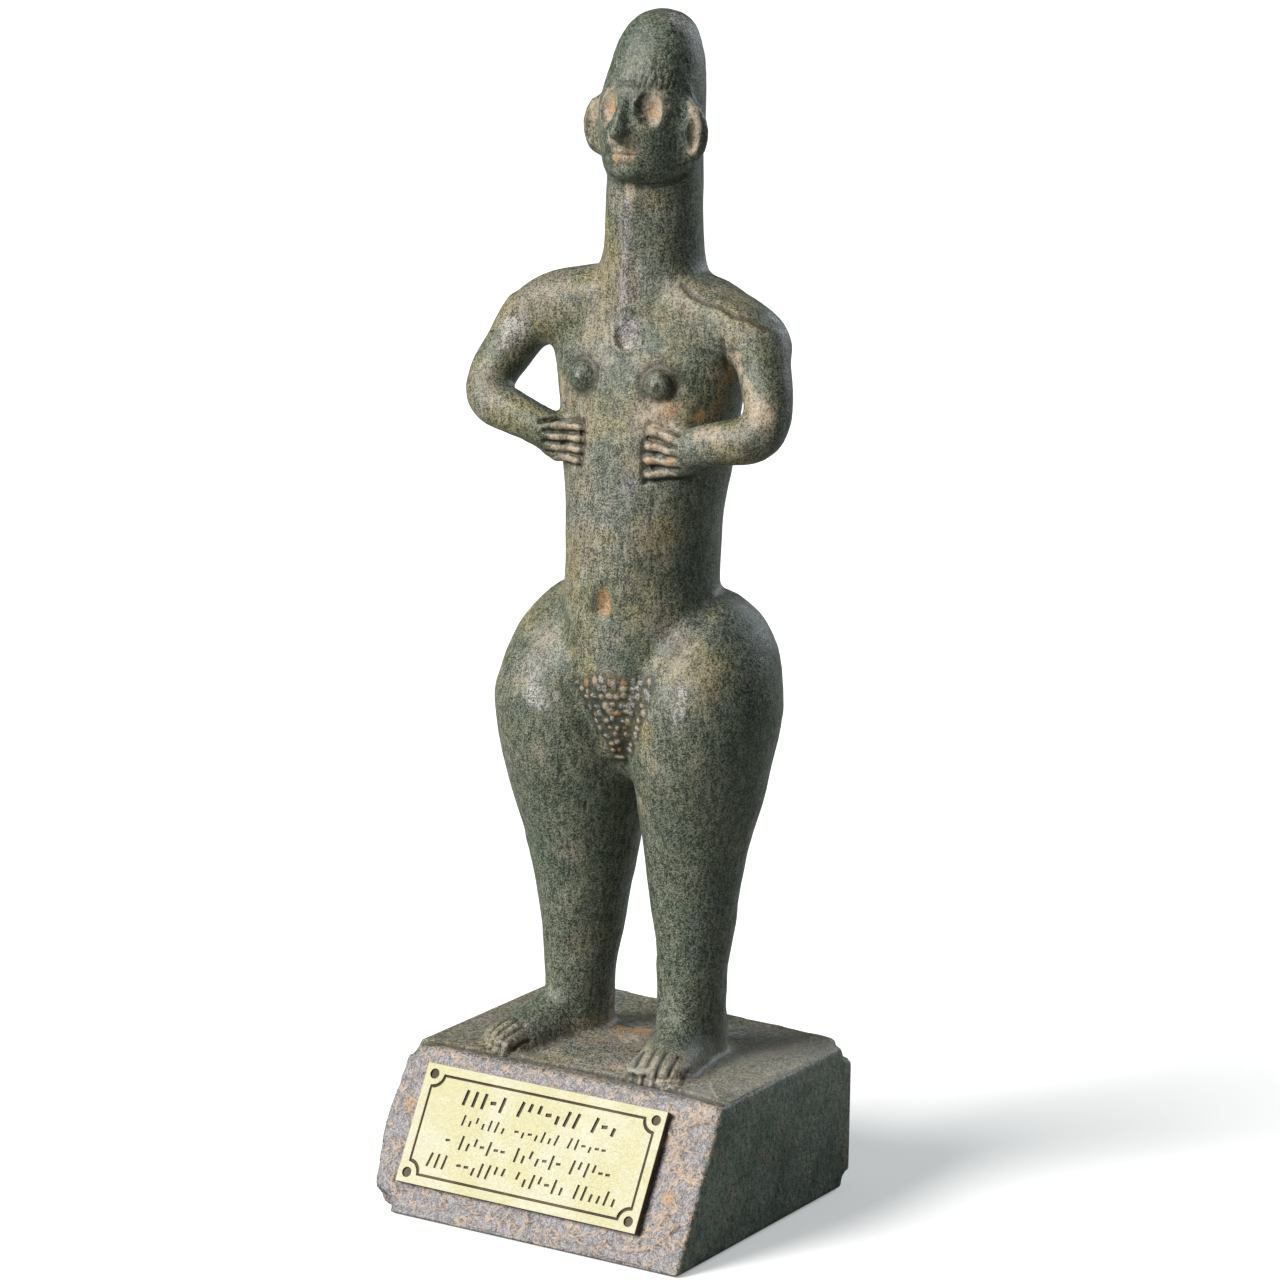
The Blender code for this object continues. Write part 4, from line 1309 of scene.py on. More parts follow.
        skin.marks({
            # the three wide dark dabs are painted shadow under the right foot's inner side
            SOOT_AND_SHADE: ((725, 1057, 1.4, 1), (550, 1042, 6, 0.5), (570, 1036, 5, 0.5), (530, 1046, 5, 0.4)),
            RUST: ((612, 1024, 2.4, 1), (625, 1030, 2.6, 1), (638, 1030, 2.4, 0.8), (650, 1032, 3.4, 0.6),
                (622, 1034, 4.4, 0.55), (611, 1000, 1.8, 0.7), (611, 1012, 1.8, 0.8)),
            CREAM_AND_LIT: ((630, 1038, 6, 0.6), (616, 1068, 5, 0.45)),
        })

    def carve_block(self, skin: Skin, dice: random.Random) -> None:
        """The line along the top, the crinkles of the front and the sides, and their dirt, with the block's top
        right painted paler where the leg's shadow falls.

        Args:
            skin: the cast's surface.
            dice: draws the small differences.
        """
        line = [Vector((x * MM, float(self.block.groove(x * MM)) + dice.uniform(-0.5, 0.5) * MM,
                        self.block.height)) for x in range(-53, 52, 3)]
        skin.stroke(line, 2.4, -1.1, SOOT_AND_SHADE, 1.0)
        crinkles = (
            (395, 1192, 300), (428, 1190, 30), (452, 1204, 200), (470, 1212, 20), (492, 1208, 340),
            (505, 1224, 30), (530, 1222, 300), (552, 1236, 20), (575, 1236, 350), (600, 1246, 60),
            (622, 1252, 20), (645, 1246, 320), (662, 1236, 10), (680, 1246, 350), (668, 1130, 330),
            (676, 1140, 340), (678, 1152, 0), (674, 1160, 20), (676, 1178, 350), (668, 1198, 40),
            (666, 1216, 80), (672, 1228, 300), (700, 1112, 20), (692, 1122, 350), (408, 1096, 90),
            (411, 1112, 100), (432, 1066, 200), (404, 1140, 120), (398, 1160, 80), (640, 1262, 10),
        )
        for across, down, heading in crinkles:
            for twig in range(4):
                pixel = Vector((across + dice.uniform(-7, 7), down + dice.uniform(-6, 6)))
                turn = math.radians(heading) + dice.uniform(-0.9, 0.9)
                path = [tuple(pixel)]
                for _ in range(dice.randint(2, 4)):
                    turn += dice.uniform(-0.8, 0.8)
                    pixel = pixel + Vector((math.cos(turn), math.sin(turn))) * dice.uniform(3, 6)
                    path.append(tuple(pixel))
                kind = VEIN if twig else CREAM_AND_LIT
                skin.draw(path, dice.uniform(0.5, 0.85), 0.32, kind, dice.uniform(0.6, 1.0))
        for _ in range(260):
            self.side_crinkle(skin, dice)
        skin.marks({
            RUST: ((668, 1198, 2.4, 1), (410, 1104, 2.6, 0.7)),
            # painted light: the wide pale dab here and the worn dabs below paint the block's top right paler where
            # the leg's shadow falls
            CREAM_AND_LIT: ((705, 1110, 3, 0.9), (780, 1046, 8, 0.45)),
            WORN_AND_LIT: ((800, 1045, 13, 1), (765, 1062, 14, 1), (742, 1082, 9, 1), (830, 1030, 9, 0.9),
                (700, 1094, 7, 0.8), (640, 1066, 9, 0.7)),
            KHAKI_AND_LIT: ((600, 1052, 12, 1),),
            MOSS: ((480, 1020, 14, 0.35),),
        })
        corner = [Vector((self.block.width / 2, self.block.top_front - self.block.slope * (1 - share),
                          self.block.height * share)) for share in np.linspace(0.0, 1.0, 12)]
        for place in corner:
            skin.dab(place, dice.uniform(1.5, 3.0), CREAM_AND_LIT, 0.6, height=dice.uniform(-0.5, 0.1))

    def side_crinkle(self, skin: Skin, dice: random.Random) -> None:
        """One faint crinkle somewhere on the right, left or back side of the block.

        Args:
            skin: the cast's surface.
            dice: draws the small differences.
        """
        share, up = dice.random(), dice.uniform(3, 40) * MM
        side = dice.choice((Vector((1, 0, 0)), Vector((1, 0, 0)), Vector((-1, 0, 0)), Vector((0, 1, 0))))
        along = Vector((side.y, side.x, 0.0))
        low = -self.block.back if side.x else -self.block.width / 2
        high = self.block.back if side.x else self.block.width / 2
        place = along * (low + (high - low) * share) + Vector((0, 0, up))
        turn = dice.uniform(-0.9, 0.9)
        route = []
        for _ in range(dice.randint(3, 5)):
            hit = skin.tree.ray_cast(place + side * 0.1, -side)[0]
            if hit:
                route.append(hit)
            turn += dice.uniform(-0.7, 0.7)
            place = place + (along * math.cos(turn) + Vector((0, 0, math.sin(turn)))) * dice.uniform(1, 2) * MM
        skin.stroke(route, dice.uniform(0.7, 1.1), 0.25, VEIN, dice.uniform(0.2, 0.55))

    def tone(self, skin: Skin) -> None:
        """Lays the wide tones: sandy over the trunk, heavier on faces turned to the key light as painted light, and
        violet-grey over the block's front.

        Args:
            skin: the cast's surface.
        """
        _, _, up = skin.figure()
        # painted light: the sandy tone on trunk and thighs is laid heavier on faces turned towards the key light
        key_lit_facing = ease(-0.15, 0.75, -0.93 * skin.normals[:, 1] - 0.35 * skin.normals[:, 0])
        trunk = ease(92, 122, up) * (1 - ease(238, 254, up))
        khaki_and_lit = trunk * (0.12 + 0.88 * key_lit_facing)
        thighs = ease(40, 100, up) * (1 - trunk) * (up < 200) * 0.35 * key_lit_facing
        top = ease(-1.5, -0.4, up) * (1 - ease(5, 9, up)) * 0.75
        slope = ease(0.55, 0.85, -skin.normals[:, 1]) * ease(0.5, 1.5, -up)
        skin.stains[SLAB] = 1 - ease(-0.6, 1.0, up)
        lip = ease(0.3 * MM, 1.8 * MM, self.block.groove(skin.places[:, 0]) - skin.places[:, 1])
        lip = lip * skin.stains[SLAB] * ease(-3.0, -0.6, up)
        for stain, share in ((KHAKI_AND_LIT, khaki_and_lit), (KHAKI_AND_LIT, thighs), (KHAKI_AND_LIT, top), (MAUVE, slope), (MAUVE, 0.25 * top),
                             (MAUVE, 0.85 * lip)):
            skin.stains[stain] = np.maximum(skin.stains[stain], share)

    def fit(self, skin: Skin) -> None:
        """Keeps every point inside the box of the solids.

        Args:
            skin: the cast's surface.
        """
        low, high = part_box("statue")
        skin.places[:] = np.clip(skin.places, np.array(low), np.array(high))
        skin.thing.data.vertices.foreach_set("co", skin.places.astype(np.float32).ravel())
        skin.thing.data.update()


@dataclass(frozen=True)
class NamePlate:
    """The engraved plate glued to the block's sloping front, in metres."""

    block: Block
    thickness: float = 0.0020
    left_margin: float = 0.0069
    right_margin: float = 0.0153
    top_margin: float = 0.0049
    bottom_margin: float = 0.0094
    glue_gap: float = 0.0003
    depth: float = 0.0005
    inset: float = 0.0030
    line: float = 0.0007
    corner: float = 0.0036
    dot: float = 0.0015
    seed: int = 5

    @property
    def slope(self) -> float:
        """Angle of the block's front, in radians."""
        return math.atan2(self.block.height, self.block.slope)

    @property
    def size(self) -> tuple[float, float]:
        """Width and height of the plate.

        Returns:
            Both sizes.
        """
        length = math.hypot(self.block.height, self.block.slope)
        return (self.block.width - self.left_margin - self.right_margin,
                length - self.top_margin - self.bottom_margin)

    def build(self) -> Thing:
        """The plate with its border line, dots and rows of strokes.

        Returns:
            The finished piece in its place, without its finishes.
        """
        width, height = self.size
        plate = slab("name_plate", (0.0, 0.0, self.thickness / 2), (width, height, self.thickness))
        modify(plate, "BEVEL", width=0.12 * MM, segments=2)
        cut(plate, self.border())
        cut(plate, joined("marks", self.dots() + self.strokes()))
        down = Vector((0, -math.cos(self.slope), -math.sin(self.slope)))
        outward = Vector((0, -math.sin(self.slope), math.cos(self.slope)))
        middle = Vector(((self.left_margin - self.right_margin) / 2, self.block.top_front, self.block.height))
        middle += down * (self.top_margin + height / 2) + outward * self.glue_gap
        plate.data.materials.clear()
        for _ in PlatePart:
            plate.data.materials.append(None)
        for face in plate.data.polygons:
            under = face.center.z < self.thickness - 0.03 * MM
            inside = abs(face.center.x) < width / 2 - 0.3 * MM and abs(face.center.y) < height / 2 - 0.3 * MM
            lower = face.center.z > self.thickness / 2
            face.material_index = (1 if inside and lower else 2) if under else 0
        plate.location = middle
        plate.rotation_euler.x = self.slope
        only(plate)
        named("name_plate")
        LOG.info("name plate: %d faces", len(plate.data.polygons))
        return plate

    def border(self) -> Thing:
        """The cutter of the border line, whose corners bend in round the dots.

        Returns:
            The cutter.
        """
        across, up = self.size[0] / 2 - self.inset, self.size[1] / 2 - self.inset
        route = []
        for corner, (x, y) in enumerate(((across, up), (-across, up), (-across, -up), (across, -up))):
            for step in range(9):
                turn = math.radians(-90 * (1 - corner) - 90 / 8 * step)
                route.append((x + self.corner * math.cos(turn), y + self.corner * math.sin(turn)))
        only()
        bpy.ops.curve.primitive_nurbs_path_add(location=(0.0, 0.0, 0.0))
        border = bpy.context.object
        border.data.splines.clear()
        border.data.bevel_depth = self.line * 0.75
        border.data.bevel_resolution = 1
        spline = border.data.splines.new("POLY")
        spline.use_cyclic_u = True
        spline.points.add(len(route) - 1)
        for point, (x, y) in zip(spline.points, route):
            point.co = (x, y, self.thickness, 1.0)
        bpy.ops.object.convert(target="MESH")
        return named("border")

    def dots(self) -> list[Thing]:
        """The cutters of the four round dots.

        Returns:
            The cutters.
        """
        made = []
        across, up = self.size[0] / 2 - self.inset, self.size[1] / 2 - self.inset
        for x in (-across, across):
            for y in (-up, up):
                only()
                bpy.ops.mesh.primitive_cylinder_add(vertices=32, radius=self.dot, depth=2 * self.depth,
                                                    location=(x, y, self.thickness))
                made.append(named("dot"))
        return made

    def strokes(self) -> list[Thing]:
        """The cutters of the rows of short strokes.

        Returns:
            The cutters.
        """
        dice = random.Random(self.seed)
        rows = ((0.74, 0.72, 17, 1.05), (0.70, 0.50, 22, 0.66), (0.80, 0.66, 24, 0.74), (0.92, 0.66, 26, 0.76))
        pitch = (self.size[1] - 2 * self.inset - 2 * self.corner) / 3.4
        made = []
        for row, (share, tall, count, thick) in enumerate(rows):
            length = (self.size[0] - 2 * self.inset - 2 * self.corner) * share
            room = length / (count - 1)
            for step in range(count):
                if (step * 3 + row * 2) % 8 == 7:
                    continue
                x = room * (step - (count - 1) / 2)
                y = pitch * (1.5 - row)
                high = pitch * tall
                kind = dice.random()
                lean = dice.uniform(-0.24, -0.12)
                if kind < 0.2:          # a dash
                    bar = (0.0, 0.62 * room, thick * MM, 0.1)
                elif kind < 0.4:        # a low stroke
                    bar = (-0.2 * high, thick * MM, 0.55 * high, lean)
                elif kind < 0.55:       # a high stroke
                    bar = (0.2 * high, thick * MM, 0.55 * high, lean)
                else:                   # a tall stroke
                    bar = (0.0, thick * MM, high, lean)
                above, wide, long, turn = bar
                size = (wide, long, (1.6 if row == 0 else 1.2) * self.depth)
                made.append(slab("stroke", (x, y + above, self.thickness), size, turn))
        return made


# ---- Finishes ----


class Sketch:
    """Places shader nodes in a tree and links them."""

    def __init__(self, tree: Tree) -> None:
        """Keeps the tree that the nodes go into."""
        self.tree = tree

    def feed(self, socket: Socket, value: object) -> None:
        """Links a socket to another, or sets its value.

        Args:
            socket: the socket.
            value: a socket, number or colour.
        """
        if isinstance(value, Socket):
            self.tree.links.new(value, socket)
        elif socket.type == "RGBA":
            socket.default_value = (*value, 1.0)
        else:
            socket.default_value = value

    def node(self, kind: str, settings: dict | None = None, **inputs: object) -> Node:
        """Adds a node.

        Args:
            kind: its type without the leading ShaderNode.
            settings: values of its properties.
            inputs: what goes into its sockets; an underscore stands for a space.

        Returns:
            The node.
        """
        node = self.tree.nodes.new("ShaderNode" + kind)
        for name, value in (settings or {}).items():
            setattr(node, name, value)
        return self.given(node, {name.replace("_", " "): value for name, value in inputs.items()})

    def given(self, node: Node, inputs: dict) -> Node:
        """The node, with what goes into its sockets by name or number.

        Args:
            node: the node.
            inputs: what goes into its sockets.

        Returns:
            The node.
        """
        for socket, value in inputs.items():
            self.feed(node.inputs[socket], value)
        return node

    def maths(self, operation: str, a: object, b: object = 0.0) -> Socket:
        """The result of a sum or other reckoning, kept between 0 and 1."""
        return self.total(operation, a, b, True)

    def total(self, operation: str, a: object, b: object = 0.0, clamp: bool = False) -> Socket:
        """The result of a sum or other reckoning, as it comes."""
        return self.given(self.node("Math", {"operation": operation, "use_clamp": clamp}), {0: a, 1: b}).outputs[0]

    def scaled(self, a: object, b: object) -> Socket:
        """The product of two values, as it comes."""
        return self.total("MULTIPLY", a, b)

    def off_half(self, value: object) -> Socket:
        """How far a value lies from a half, either way."""
        return self.total("ABSOLUTE", self.total("SUBTRACT", value, 0.5))

    def times(self, a: object, b: object) -> Socket:
        """The product of two values, kept between 0 and 1."""
        return self.maths("MULTIPLY", a, b)

    def mix(self, share: object, first: object, second: object) -> Socket:
        """A colour between two."""
        return self.given(self.node("Mix", {"data_type": "RGBA"}), {0: share, 6: first, 7: second}).outputs[2]

    def span(self, value: object, low: float, high: float, start: float = 0.0,
             end: float = 1.0) -> Socket:
        """Stretches the values between low and high to those between start and end, smoothly."""
        return self.node("MapRange", {"interpolation_type": "SMOOTHSTEP"}, Value=value, From_Min=low,
                         From_Max=high, To_Min=start, To_Max=end).outputs["Result"]

    def noise(self, place: object, scale: object, detail: float = 2.0, rough: float = 0.5) -> Socket:
        """Cloudy noise at a place."""
        return self.node("TexNoise", None, Vector=place, Scale=scale, Detail=detail, Roughness=rough).outputs[0]

    def stain(self, kind: Stain) -> Socket:
        """A stain's attribute."""
        return self.node("Attribute", {"attribute_name": kind.value}).outputs["Fac"]

    def put(self, group: Tree, **inputs: object) -> Node:
        """Adds a group, with what goes into its sockets."""
        return self.node("Group", {"node_tree": group}, **inputs)


def new_group(name: str, inputs: dict[str, str], outputs: dict[str, str]) -> tuple[Sketch, dict, dict]:
    """Starts a node group.

    Args:
        name: its name.
        inputs: names of its inputs and their socket types.
        outputs: the same of its outputs.

    Returns:
        A sketch of it, the sockets that its inputs come from and those that its outputs go to.
    """
    tree = bpy.data.node_groups.new(name, "ShaderNodeTree")
    for way, sockets in (("INPUT", inputs), ("OUTPUT", outputs)):
        for label, kind in sockets.items():
            tree.interface.new_socket(label, in_out=way, socket_type="NodeSocket" + kind)
    came = tree.nodes.new("NodeGroupInput")
    goes = tree.nodes.new("NodeGroupOutput")
    return (Sketch(tree), {label: came.outputs[label] for label in inputs},
            {label: goes.inputs[label] for label in outputs})


def grain_group() -> Tree:
    """Stone-powder grain: specks, streaks, two kinds of wide clouds, fine lines and a height for the bump.

    Returns:
        The group.
    """
    sketch, given, result = new_group(
        "cast grain", {"Place": "Vector", "Fine": "Float", "Wide": "Float"},
        {name: "Float" for name in ("Specks", "Tone", "Clouds", "Drift", "Web", "Height")})
    place, finest = given["Place"], given["Fine"]
    drawn = sketch.node("Mapping", None, Vector=place, Scale=(1.0, 1.0, 0.25)).outputs[0]
    moved = sketch.node("Mapping", None, Vector=place, Location=(3.7, 1.9, 5.3)).outputs[0]
    fine = sketch.noise(place, finest, 3.0, 0.7)
    middle = sketch.noise(place, sketch.scaled(finest, 0.24), 3.0, 0.6)
    streak = sketch.noise(drawn, sketch.scaled(finest, 0.45), 2.0, 0.6)
    tone = sketch.total("ADD", sketch.scaled(middle, 0.14), sketch.scaled(streak, 0.22))
    tone = sketch.total("ADD", tone, sketch.scaled(fine, 0.64))
    web = sketch.span(sketch.off_half(sketch.noise(place, sketch.scaled(finest, 0.26), 2.0, 0.6)), 0.028, 0.0)
    drift = sketch.noise(moved, sketch.scaled(given["Wide"], 0.85), 3.0, 0.6)
    bumps = sketch.total("ADD", sketch.scaled(fine, 0.5), sketch.scaled(middle, 0.5))
    for label, value in (
            ("Specks", sketch.span(fine, 0.40, 0.62)), ("Tone", sketch.span(tone, 0.405, 0.595)),
            ("Clouds", sketch.span(sketch.noise(place, given["Wide"], 4.0, 0.6), 0.38, 0.62)),
            ("Drift", sketch.span(drift, 0.38, 0.62)), ("Web", web),
            ("Height", sketch.total("SUBTRACT", bumps, sketch.scaled(web, 0.14)))):
        sketch.feed(result[label], value)
    return sketch.tree


def crinkle_group() -> Tree:
    """Thin broken lines like the wrinkles of a dried skin of paint.

    Returns:
        The group.
    """
    sketch, given, result = new_group("crinkles", {"Place": "Vector", "Scale": "Float"}, {"Lines": "Float"})
    place, scale = given["Place"], given["Scale"]
    line = sketch.span(sketch.off_half(sketch.noise(place, scale, 3.0, 0.55)), 0.055, 0.016)
    gaps = sketch.span(sketch.noise(place, sketch.scaled(scale, 0.8), 1.0, 0.5), 0.44, 0.56)
    sketch.feed(result["Lines"], sketch.times(line, gaps))
    return sketch.tree


def dirt_group() -> Tree:
    """Breaks a soft mask up into an uneven patch.

    Returns:
        The group.
    """
    sketch, given, result = new_group(
        "ragged patch", {"Place": "Vector", "Mask": "Float", "Scale": "Float"}, {"Cover": "Float"})
    ragged = sketch.noise(given["Place"], given["Scale"], 4.0, 0.65)
    shifted = sketch.maths("SUBTRACT", sketch.maths("ADD", given["Mask"], ragged), 0.5)
    edge = sketch.span(given["Mask"], 0.02, 0.2)
    sketch.feed(result["Cover"], sketch.times(sketch.span(shifted, 0.15, 0.75), edge))
    return sketch.tree


@dataclass(frozen=True)
class Library:
    """The node groups that the finishes share."""

    grain: Tree
    dirt: Tree
    crinkle: Tree


def new_material(name: str) -> tuple[Material, Sketch, Node, Socket]:
    """Starts a finish.

    Args:
        name: its name.

    Returns:
        The material, a sketch of its tree, its shader and the place on the piece that its patterns read.
    """
    material = bpy.data.materials.new(name)
    material.use_nodes = True
    sketch = Sketch(material.node_tree)
    place = sketch.node("TexCoord").outputs["Object"]
    return material, sketch, material.node_tree.nodes["Principled BSDF"], place


@dataclass(frozen=True)
class Tones:
    """Dark, middle and pale tone of one part of a mottled finish."""

    dark: Colour
    middle: Colour
    pale: Colour

    def lay(self, sketch: Sketch, share: object) -> Socket:
        """The colour at a share between dark and pale."""
        lower = sketch.mix(sketch.span(share, 0.0, 0.5), self.dark, self.middle)
        return sketch.mix(sketch.span(share, 0.5, 1.0), lower, self.pale)


@dataclass(frozen=True)
class CastPatina:
    """Dark green cast resin with stone powder, coloured like old bronze, with dirt in its carving, painted shade in
    its hollows and under some forms, painted highlights, and a sandy tone painted lighter where faces turn to the
    key light.
    """

    ground: Tones = Tones((0.018, 0.028, 0.018), (0.076, 0.093, 0.062), (0.215, 0.225, 0.165))
    sand: Tones = Tones((0.062, 0.052, 0.022), (0.290, 0.248, 0.116), (0.480, 0.420, 0.260))
    ashen: Tones = Tones((0.050, 0.054, 0.040), (0.205, 0.200, 0.160), (0.400, 0.385, 0.340))
    violet: Tones = Tones((0.070, 0.066, 0.072), (0.195, 0.178, 0.188), (0.400, 0.365, 0.385))
    slate: Tones = Tones((0.044, 0.064, 0.052), (0.142, 0.184, 0.154), (0.300, 0.350, 0.300))
    # colour of the painted highlights, also used for the pale rubbed dots
    sheen_and_rubbed_tint: Colour = (0.64, 0.60, 0.62)
    buff: Colour = (0.42, 0.30, 0.21)
    moss: Tones = Tones((0.012, 0.026, 0.017), (0.036, 0.062, 0.042), (0.125, 0.165, 0.120))
    # pale dirt, also used for painted light on the block's top
    cream_and_lit: Colour = (0.56, 0.44, 0.33)
    rust: Colour = (0.50, 0.27, 0.11)
    vein: Colour = (0.50, 0.37, 0.27)
    # dark brown of the carving, also used for painted shade
    soot_and_shade: Colour = (0.020, 0.014, 0.008)
    fine: float = 2050.0
    wide: float = 75.0

    def build(self, library: Library) -> Material:
        """Makes the material.

        Args:
            library: the shared node groups.

        Returns:
            The material.
        """
        material, sketch, shader, place = new_material("cast patina")
        grain = sketch.put(library.grain, Place=place, Fine=self.fine, Wide=self.wide)
        specks, clouds, drift, tone = (grain.outputs[name] for name in ("Specks", "Clouds", "Drift", "Tone"))
        stains = {stain: sketch.stain(stain) for stain in Stain}

        def cover(stain: Stain, scale: float) -> Socket:
            """A stain broken up into an uneven patch."""
            return sketch.put(library.dirt, Place=place, Mask=stains[stain], Scale=scale).outputs["Cover"]

        khaki_and_lit, web, moss = cover(KHAKI_AND_LIT, 150.0), grain.outputs["Web"], self.moss.lay(sketch, tone)
        sandy = sketch.mix(clouds, self.sand.lay(sketch, tone), self.ashen.lay(sketch, tone))
        blush = sketch.times(sketch.span(drift, 0.58, 1.0, 0.0, 0.55), tone)
        lines = sketch.times(sketch.put(library.crinkle, Place=place, Scale=190.0).outputs["Lines"], stains[SLAB])
        layers = [
            # sandy tone, part the cast's own colour and part painted light on faces turned to the key light
            (khaki_and_lit, sketch.mix(blush, sandy, self.buff)),
            (sketch.span(drift, 0.46, 0.0, 0.0, 0.46), moss),
            (stains[MAUVE], self.violet.lay(sketch, tone)),
            (sketch.times(cover(MOSS, 260.0), 0.85), moss),
            (sketch.times(web, sketch.span(khaki_and_lit, 0.6, 0.0, 0.0, 0.42)), self.ashen.pale),
            (sketch.times(web, sketch.span(khaki_and_lit, 0.3, 1.0, 0.0, 0.50)), self.moss.dark),
            (sketch.times(lines, sketch.span(stains[MAUVE], 0.0, 1.0, 0.26, 0.7)), self.vein),
            # paler worn edges, and painted light on the block's top
            (sketch.times(stains[WORN_AND_LIT], 0.62), self.ashen.pale),
            (sketch.times(stains[HOLLOW_SHADE_AND_DIRT], 0.6), self.soot_and_shade),
        # painted shade and dirt darken concave places
        ]
        grainy = sketch.span(tone, 0.0, 0.6, 0.35, 1.0)
        for stain, tint, scale in ((SOOT_AND_SHADE, self.soot_and_shade, 600.0), (CREAM_AND_LIT, self.cream_and_lit, 420.0), (RUST, self.rust, 500.0),
                                   (VEIN, self.vein, 900.0)):
            layers.append((sketch.times(cover(stain, scale), grainy), tint))
        # pale rubbed spots and painted highlights, which are also glossier
        sheen_cover = sketch.times(cover(SHEEN_AND_RUBBED, 700.0), sketch.span(tone, 0.2, 0.8, 0.2, 1.0))
        layers.append((sketch.times(sheen_cover, 0.85), self.sheen_and_rubbed_tint))
        colour = sketch.mix(stains[SLAB], self.ground.lay(sketch, tone), self.slate.lay(sketch, tone))
        for share, over in layers:
            colour = sketch.mix(share, colour, over)
        rough = sketch.maths("ADD", sketch.times(specks, 0.22), 0.30)
        rough = sketch.maths("SUBTRACT", rough, sketch.times(stains[SHEEN_AND_RUBBED], 0.17))
        height = sketch.total("ADD", grain.outputs["Height"], sketch.scaled(lines, 0.5))
        bump = sketch.node("Bump", None, Strength=0.7, Distance=0.0005, Height=height)
        sketch.given(shader, {"Base Color": colour, "Roughness": rough, "Normal": bump.outputs[0]})
        return material


class PlatePart(Enum):
    """The surfaces of the engraved plate."""

    FACE = "plate face"
    ENGRAVING = "plate engraving"
    CORE = "plate core"


@dataclass(frozen=True)
class EngravedPlate:
    """Two-layer engraving plate: a satin pale gold face over a dark brown core."""

    gold: Colour = (0.395, 0.368, 0.195)
    pale: Colour = (0.425, 0.405, 0.285)
    brown: Colour = (0.10, 0.065, 0.022)
    dark: Colour = (0.035, 0.022, 0.010)
    metallic: float = 0.1

    def build(self, library: Library, part: PlatePart) -> Material:
        """Makes the material of one of the plate's surfaces.

        Args:
            library: the shared node groups.
            part: which surface.

        Returns:
            The material.
        """
        face = part is PlatePart.FACE
        material, sketch, shader, place = new_material(part.value)
        grain = sketch.put(library.grain, Place=place, Fine=2600.0, Wide=70.0)
        first, second = (self.gold, self.pale) if face else (self.dark, self.brown)
        rough = sketch.span(grain.outputs["Specks"], 0.0, 1.0, 0.46 if face else 0.6, 0.58 if face else 0.8)
        bump = sketch.node("Bump", None, Strength=0.15 if face else 0.5, Distance=0.0001,
                           Height=grain.outputs["Height"])
        sketch.given(shader, {"Base Color": sketch.mix(grain.outputs["Clouds"], first, second),
                              "Metallic": self.metallic if face else 0.0, "Roughness": rough,
                              "Normal": bump.outputs[0]})
        return material


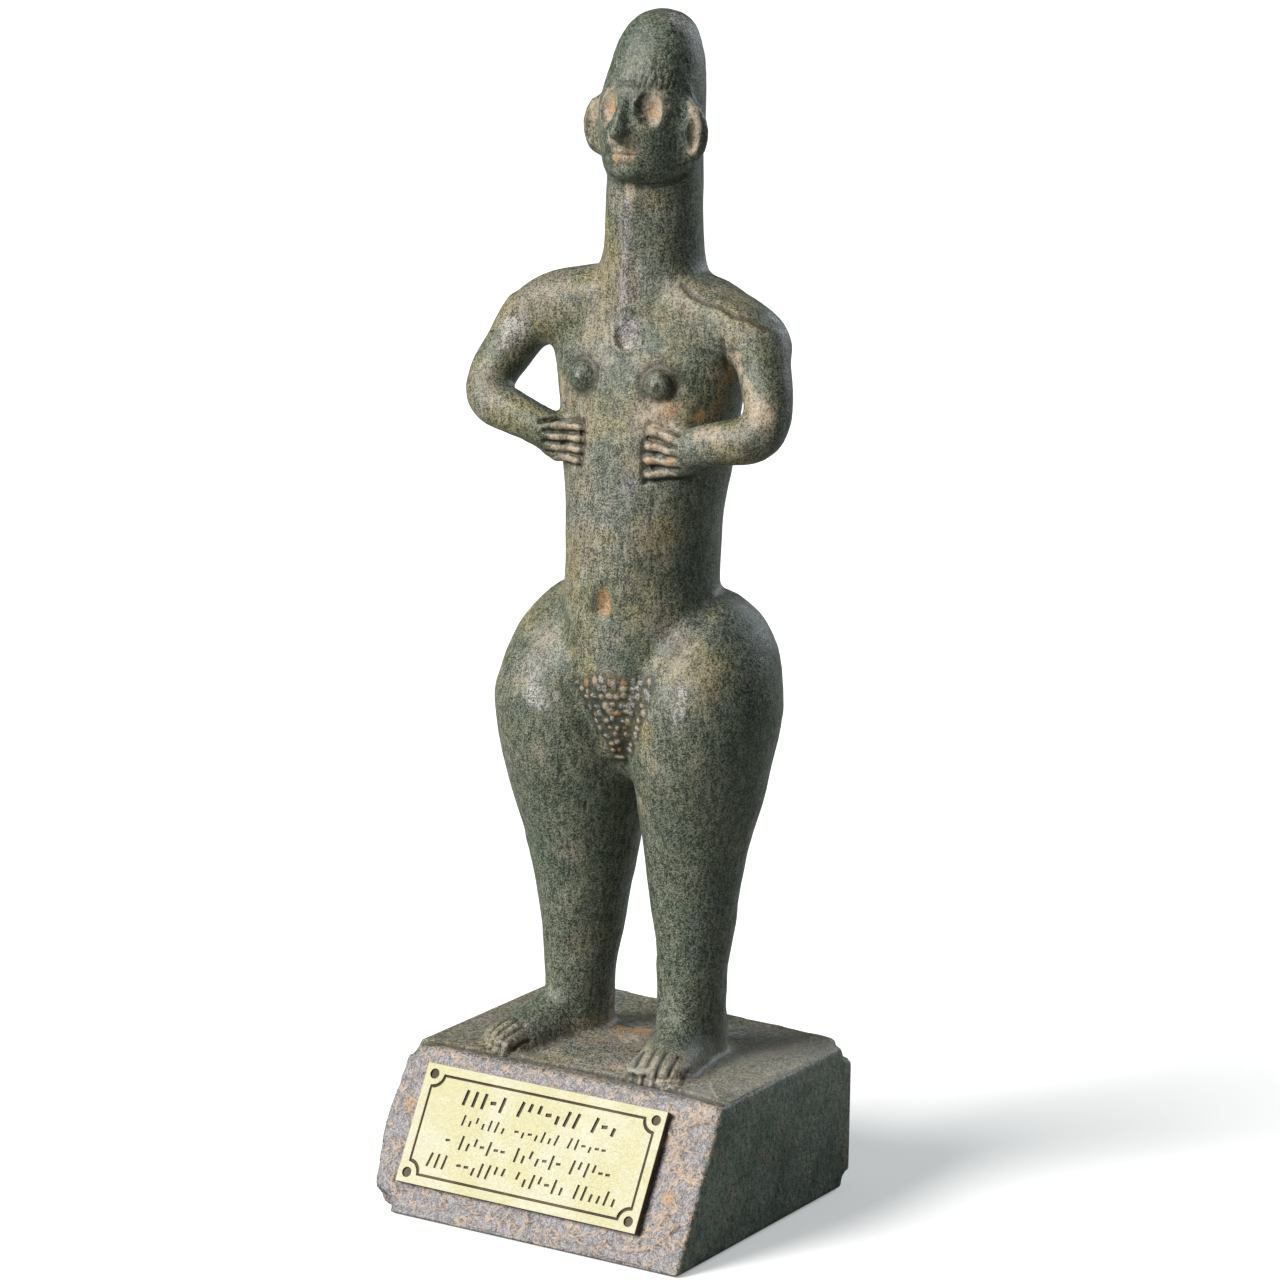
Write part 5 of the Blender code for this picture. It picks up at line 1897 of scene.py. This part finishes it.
@dataclass(frozen=True)
class Studio:
    """A pale floor, soft lights and the light of the room."""

    floor: Colour = (1.0, 1.0, 1.0)
    bounce: Colour = (0.30, 0.32, 0.30)     # how much of its light the floor throws back on the object
    glow: float = 0.30              # how much it shines in the picture itself
    radius: float = 4.0
    key_aim: Row = (-33, 32)        # degrees round to the right from the front, and up
    key_power: float = 4.9
    key_angle: float = 34.0         # how wide its soft disc is, in degrees
    rim_aim: Row = (166, 22)
    rim_power: float = 9.0
    rim_size: float = 0.7
    far: float = 1.6                # how far the lights stand from the object's middle
    middle: float = 0.16            # and how high that middle is
    room: float = 0.10              # strength of the light from all round

    def build(self, library: Library) -> None:
        """Adds floor, lights and the world's light.

        Args:
            library: the shared node groups.
        """
        only()
        bpy.ops.mesh.primitive_circle_add(vertices=96, radius=self.radius, fill_type="NGON",
                                          location=(0.0, 0.0, CAD_BOX[0][2] - 0.0002))
        floor = named("studio_floor")
        material, sketch, shader, place = new_material("floor paint")
        grain = sketch.put(library.grain, Place=place, Fine=400.0, Wide=2.0)
        tint = sketch.mix(grain.outputs["Clouds"], self.floor, tuple(0.985 * c for c in self.floor))
        seen = sketch.node("LightPath").outputs["Is Camera Ray"]
        sketch.given(shader, {"Base Color": sketch.mix(seen, self.bounce, tint), "Roughness": 1.0,
                              "Specular IOR Level": 0.0, "Emission Strength": self.glow,
                              "Emission Color": sketch.mix(seen, (0.0, 0.0, 0.0), (1.0, 1.0, 1.0))})
        floor.data.materials.append(material)
        self.light("key", "SUN", self.key_aim, self.key_power, (1.0, 0.985, 0.955))
        self.light("rim", "AREA", self.rim_aim, self.rim_power, (0.86, 0.94, 1.0))
        world = bpy.data.worlds.new("studio")
        bpy.context.scene.world = world
        world.use_nodes = True
        room = Sketch(world.node_tree)
        back = world.node_tree.nodes["Background"]
        room.given(back, {"Color": (0.92, 1.0, 0.96), "Strength": self.room})
        white = room.node("Background", None, Color=(1.0, 1.0, 1.0), Strength=1.0)
        paths = room.node("LightPath")
        both = room.given(room.node("MixShader"), {0: paths.outputs["Is Camera Ray"], 1: back.outputs[0],
                                                   2: white.outputs[0]})
        room.feed(world.node_tree.nodes["World Output"].inputs[0], both.outputs[0])
        bpy.context.scene.view_settings.view_transform = "Standard"
        LOG.info("studio: floor and two lights")

    def light(self, name: str, kind: str, aim: Row, power: float, colour: Colour) -> None:
        """Adds a soft light that looks at the object from 1.6 m.

        Args:
            name: its name.
            kind: SUN or AREA.
            aim: azimuth, from straight in front to the right, and elevation, in degrees.
            power: its strength, in watts for an area.
            colour: its colour.
        """
        way = towards(*aim)
        only()
        bpy.ops.object.light_add(type=kind, location=way * self.far + Vector((0.0, 0.0, self.middle)),
                                 rotation=way.to_track_quat("Z", "Y").to_euler())
        lamp = bpy.context.object
        lamp.name = name
        lamp.data.energy = power
        lamp.data.color = colour
        if kind == "SUN":
            lamp.data.angle = math.radians(self.key_angle)
        else:
            lamp.data.size = self.rim_size


def settle(piece: Thing, node: str, finishes: Sequence[Material]) -> None:
    """Gives a piece its finishes and its place in the frame.

    Args:
        piece: the piece.
        node: the solid that it stands for.
        finishes: its materials, in the order of its faces' numbers.
    """
    while len(piece.data.materials) < len(finishes):
        piece.data.materials.append(None)
    for number, finish in enumerate(finishes):
        piece.data.materials[number] = finish
    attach(piece, "root")
    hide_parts(node)
    LOG.info("%s stands for %s", piece.name, node)


def main() -> None:
    """Builds every piece, the studio and the camera."""
    logging.basicConfig(level=logging.INFO, format="%(name)s: %(message)s")
    library = Library(grain_group(), dirt_group(), crinkle_group())
    view, block = PhotoView(), Block()
    view.build()
    cast = Cast(Figure(), block, view).build()
    settle(cast, "statue", [CastPatina().build(library)])
    plate = NamePlate(block).build()
    settle(plate, "plaque", [EngravedPlate().build(library, part) for part in PlatePart])
    Studio().build(library)


if __name__ == "__main__":
    main()
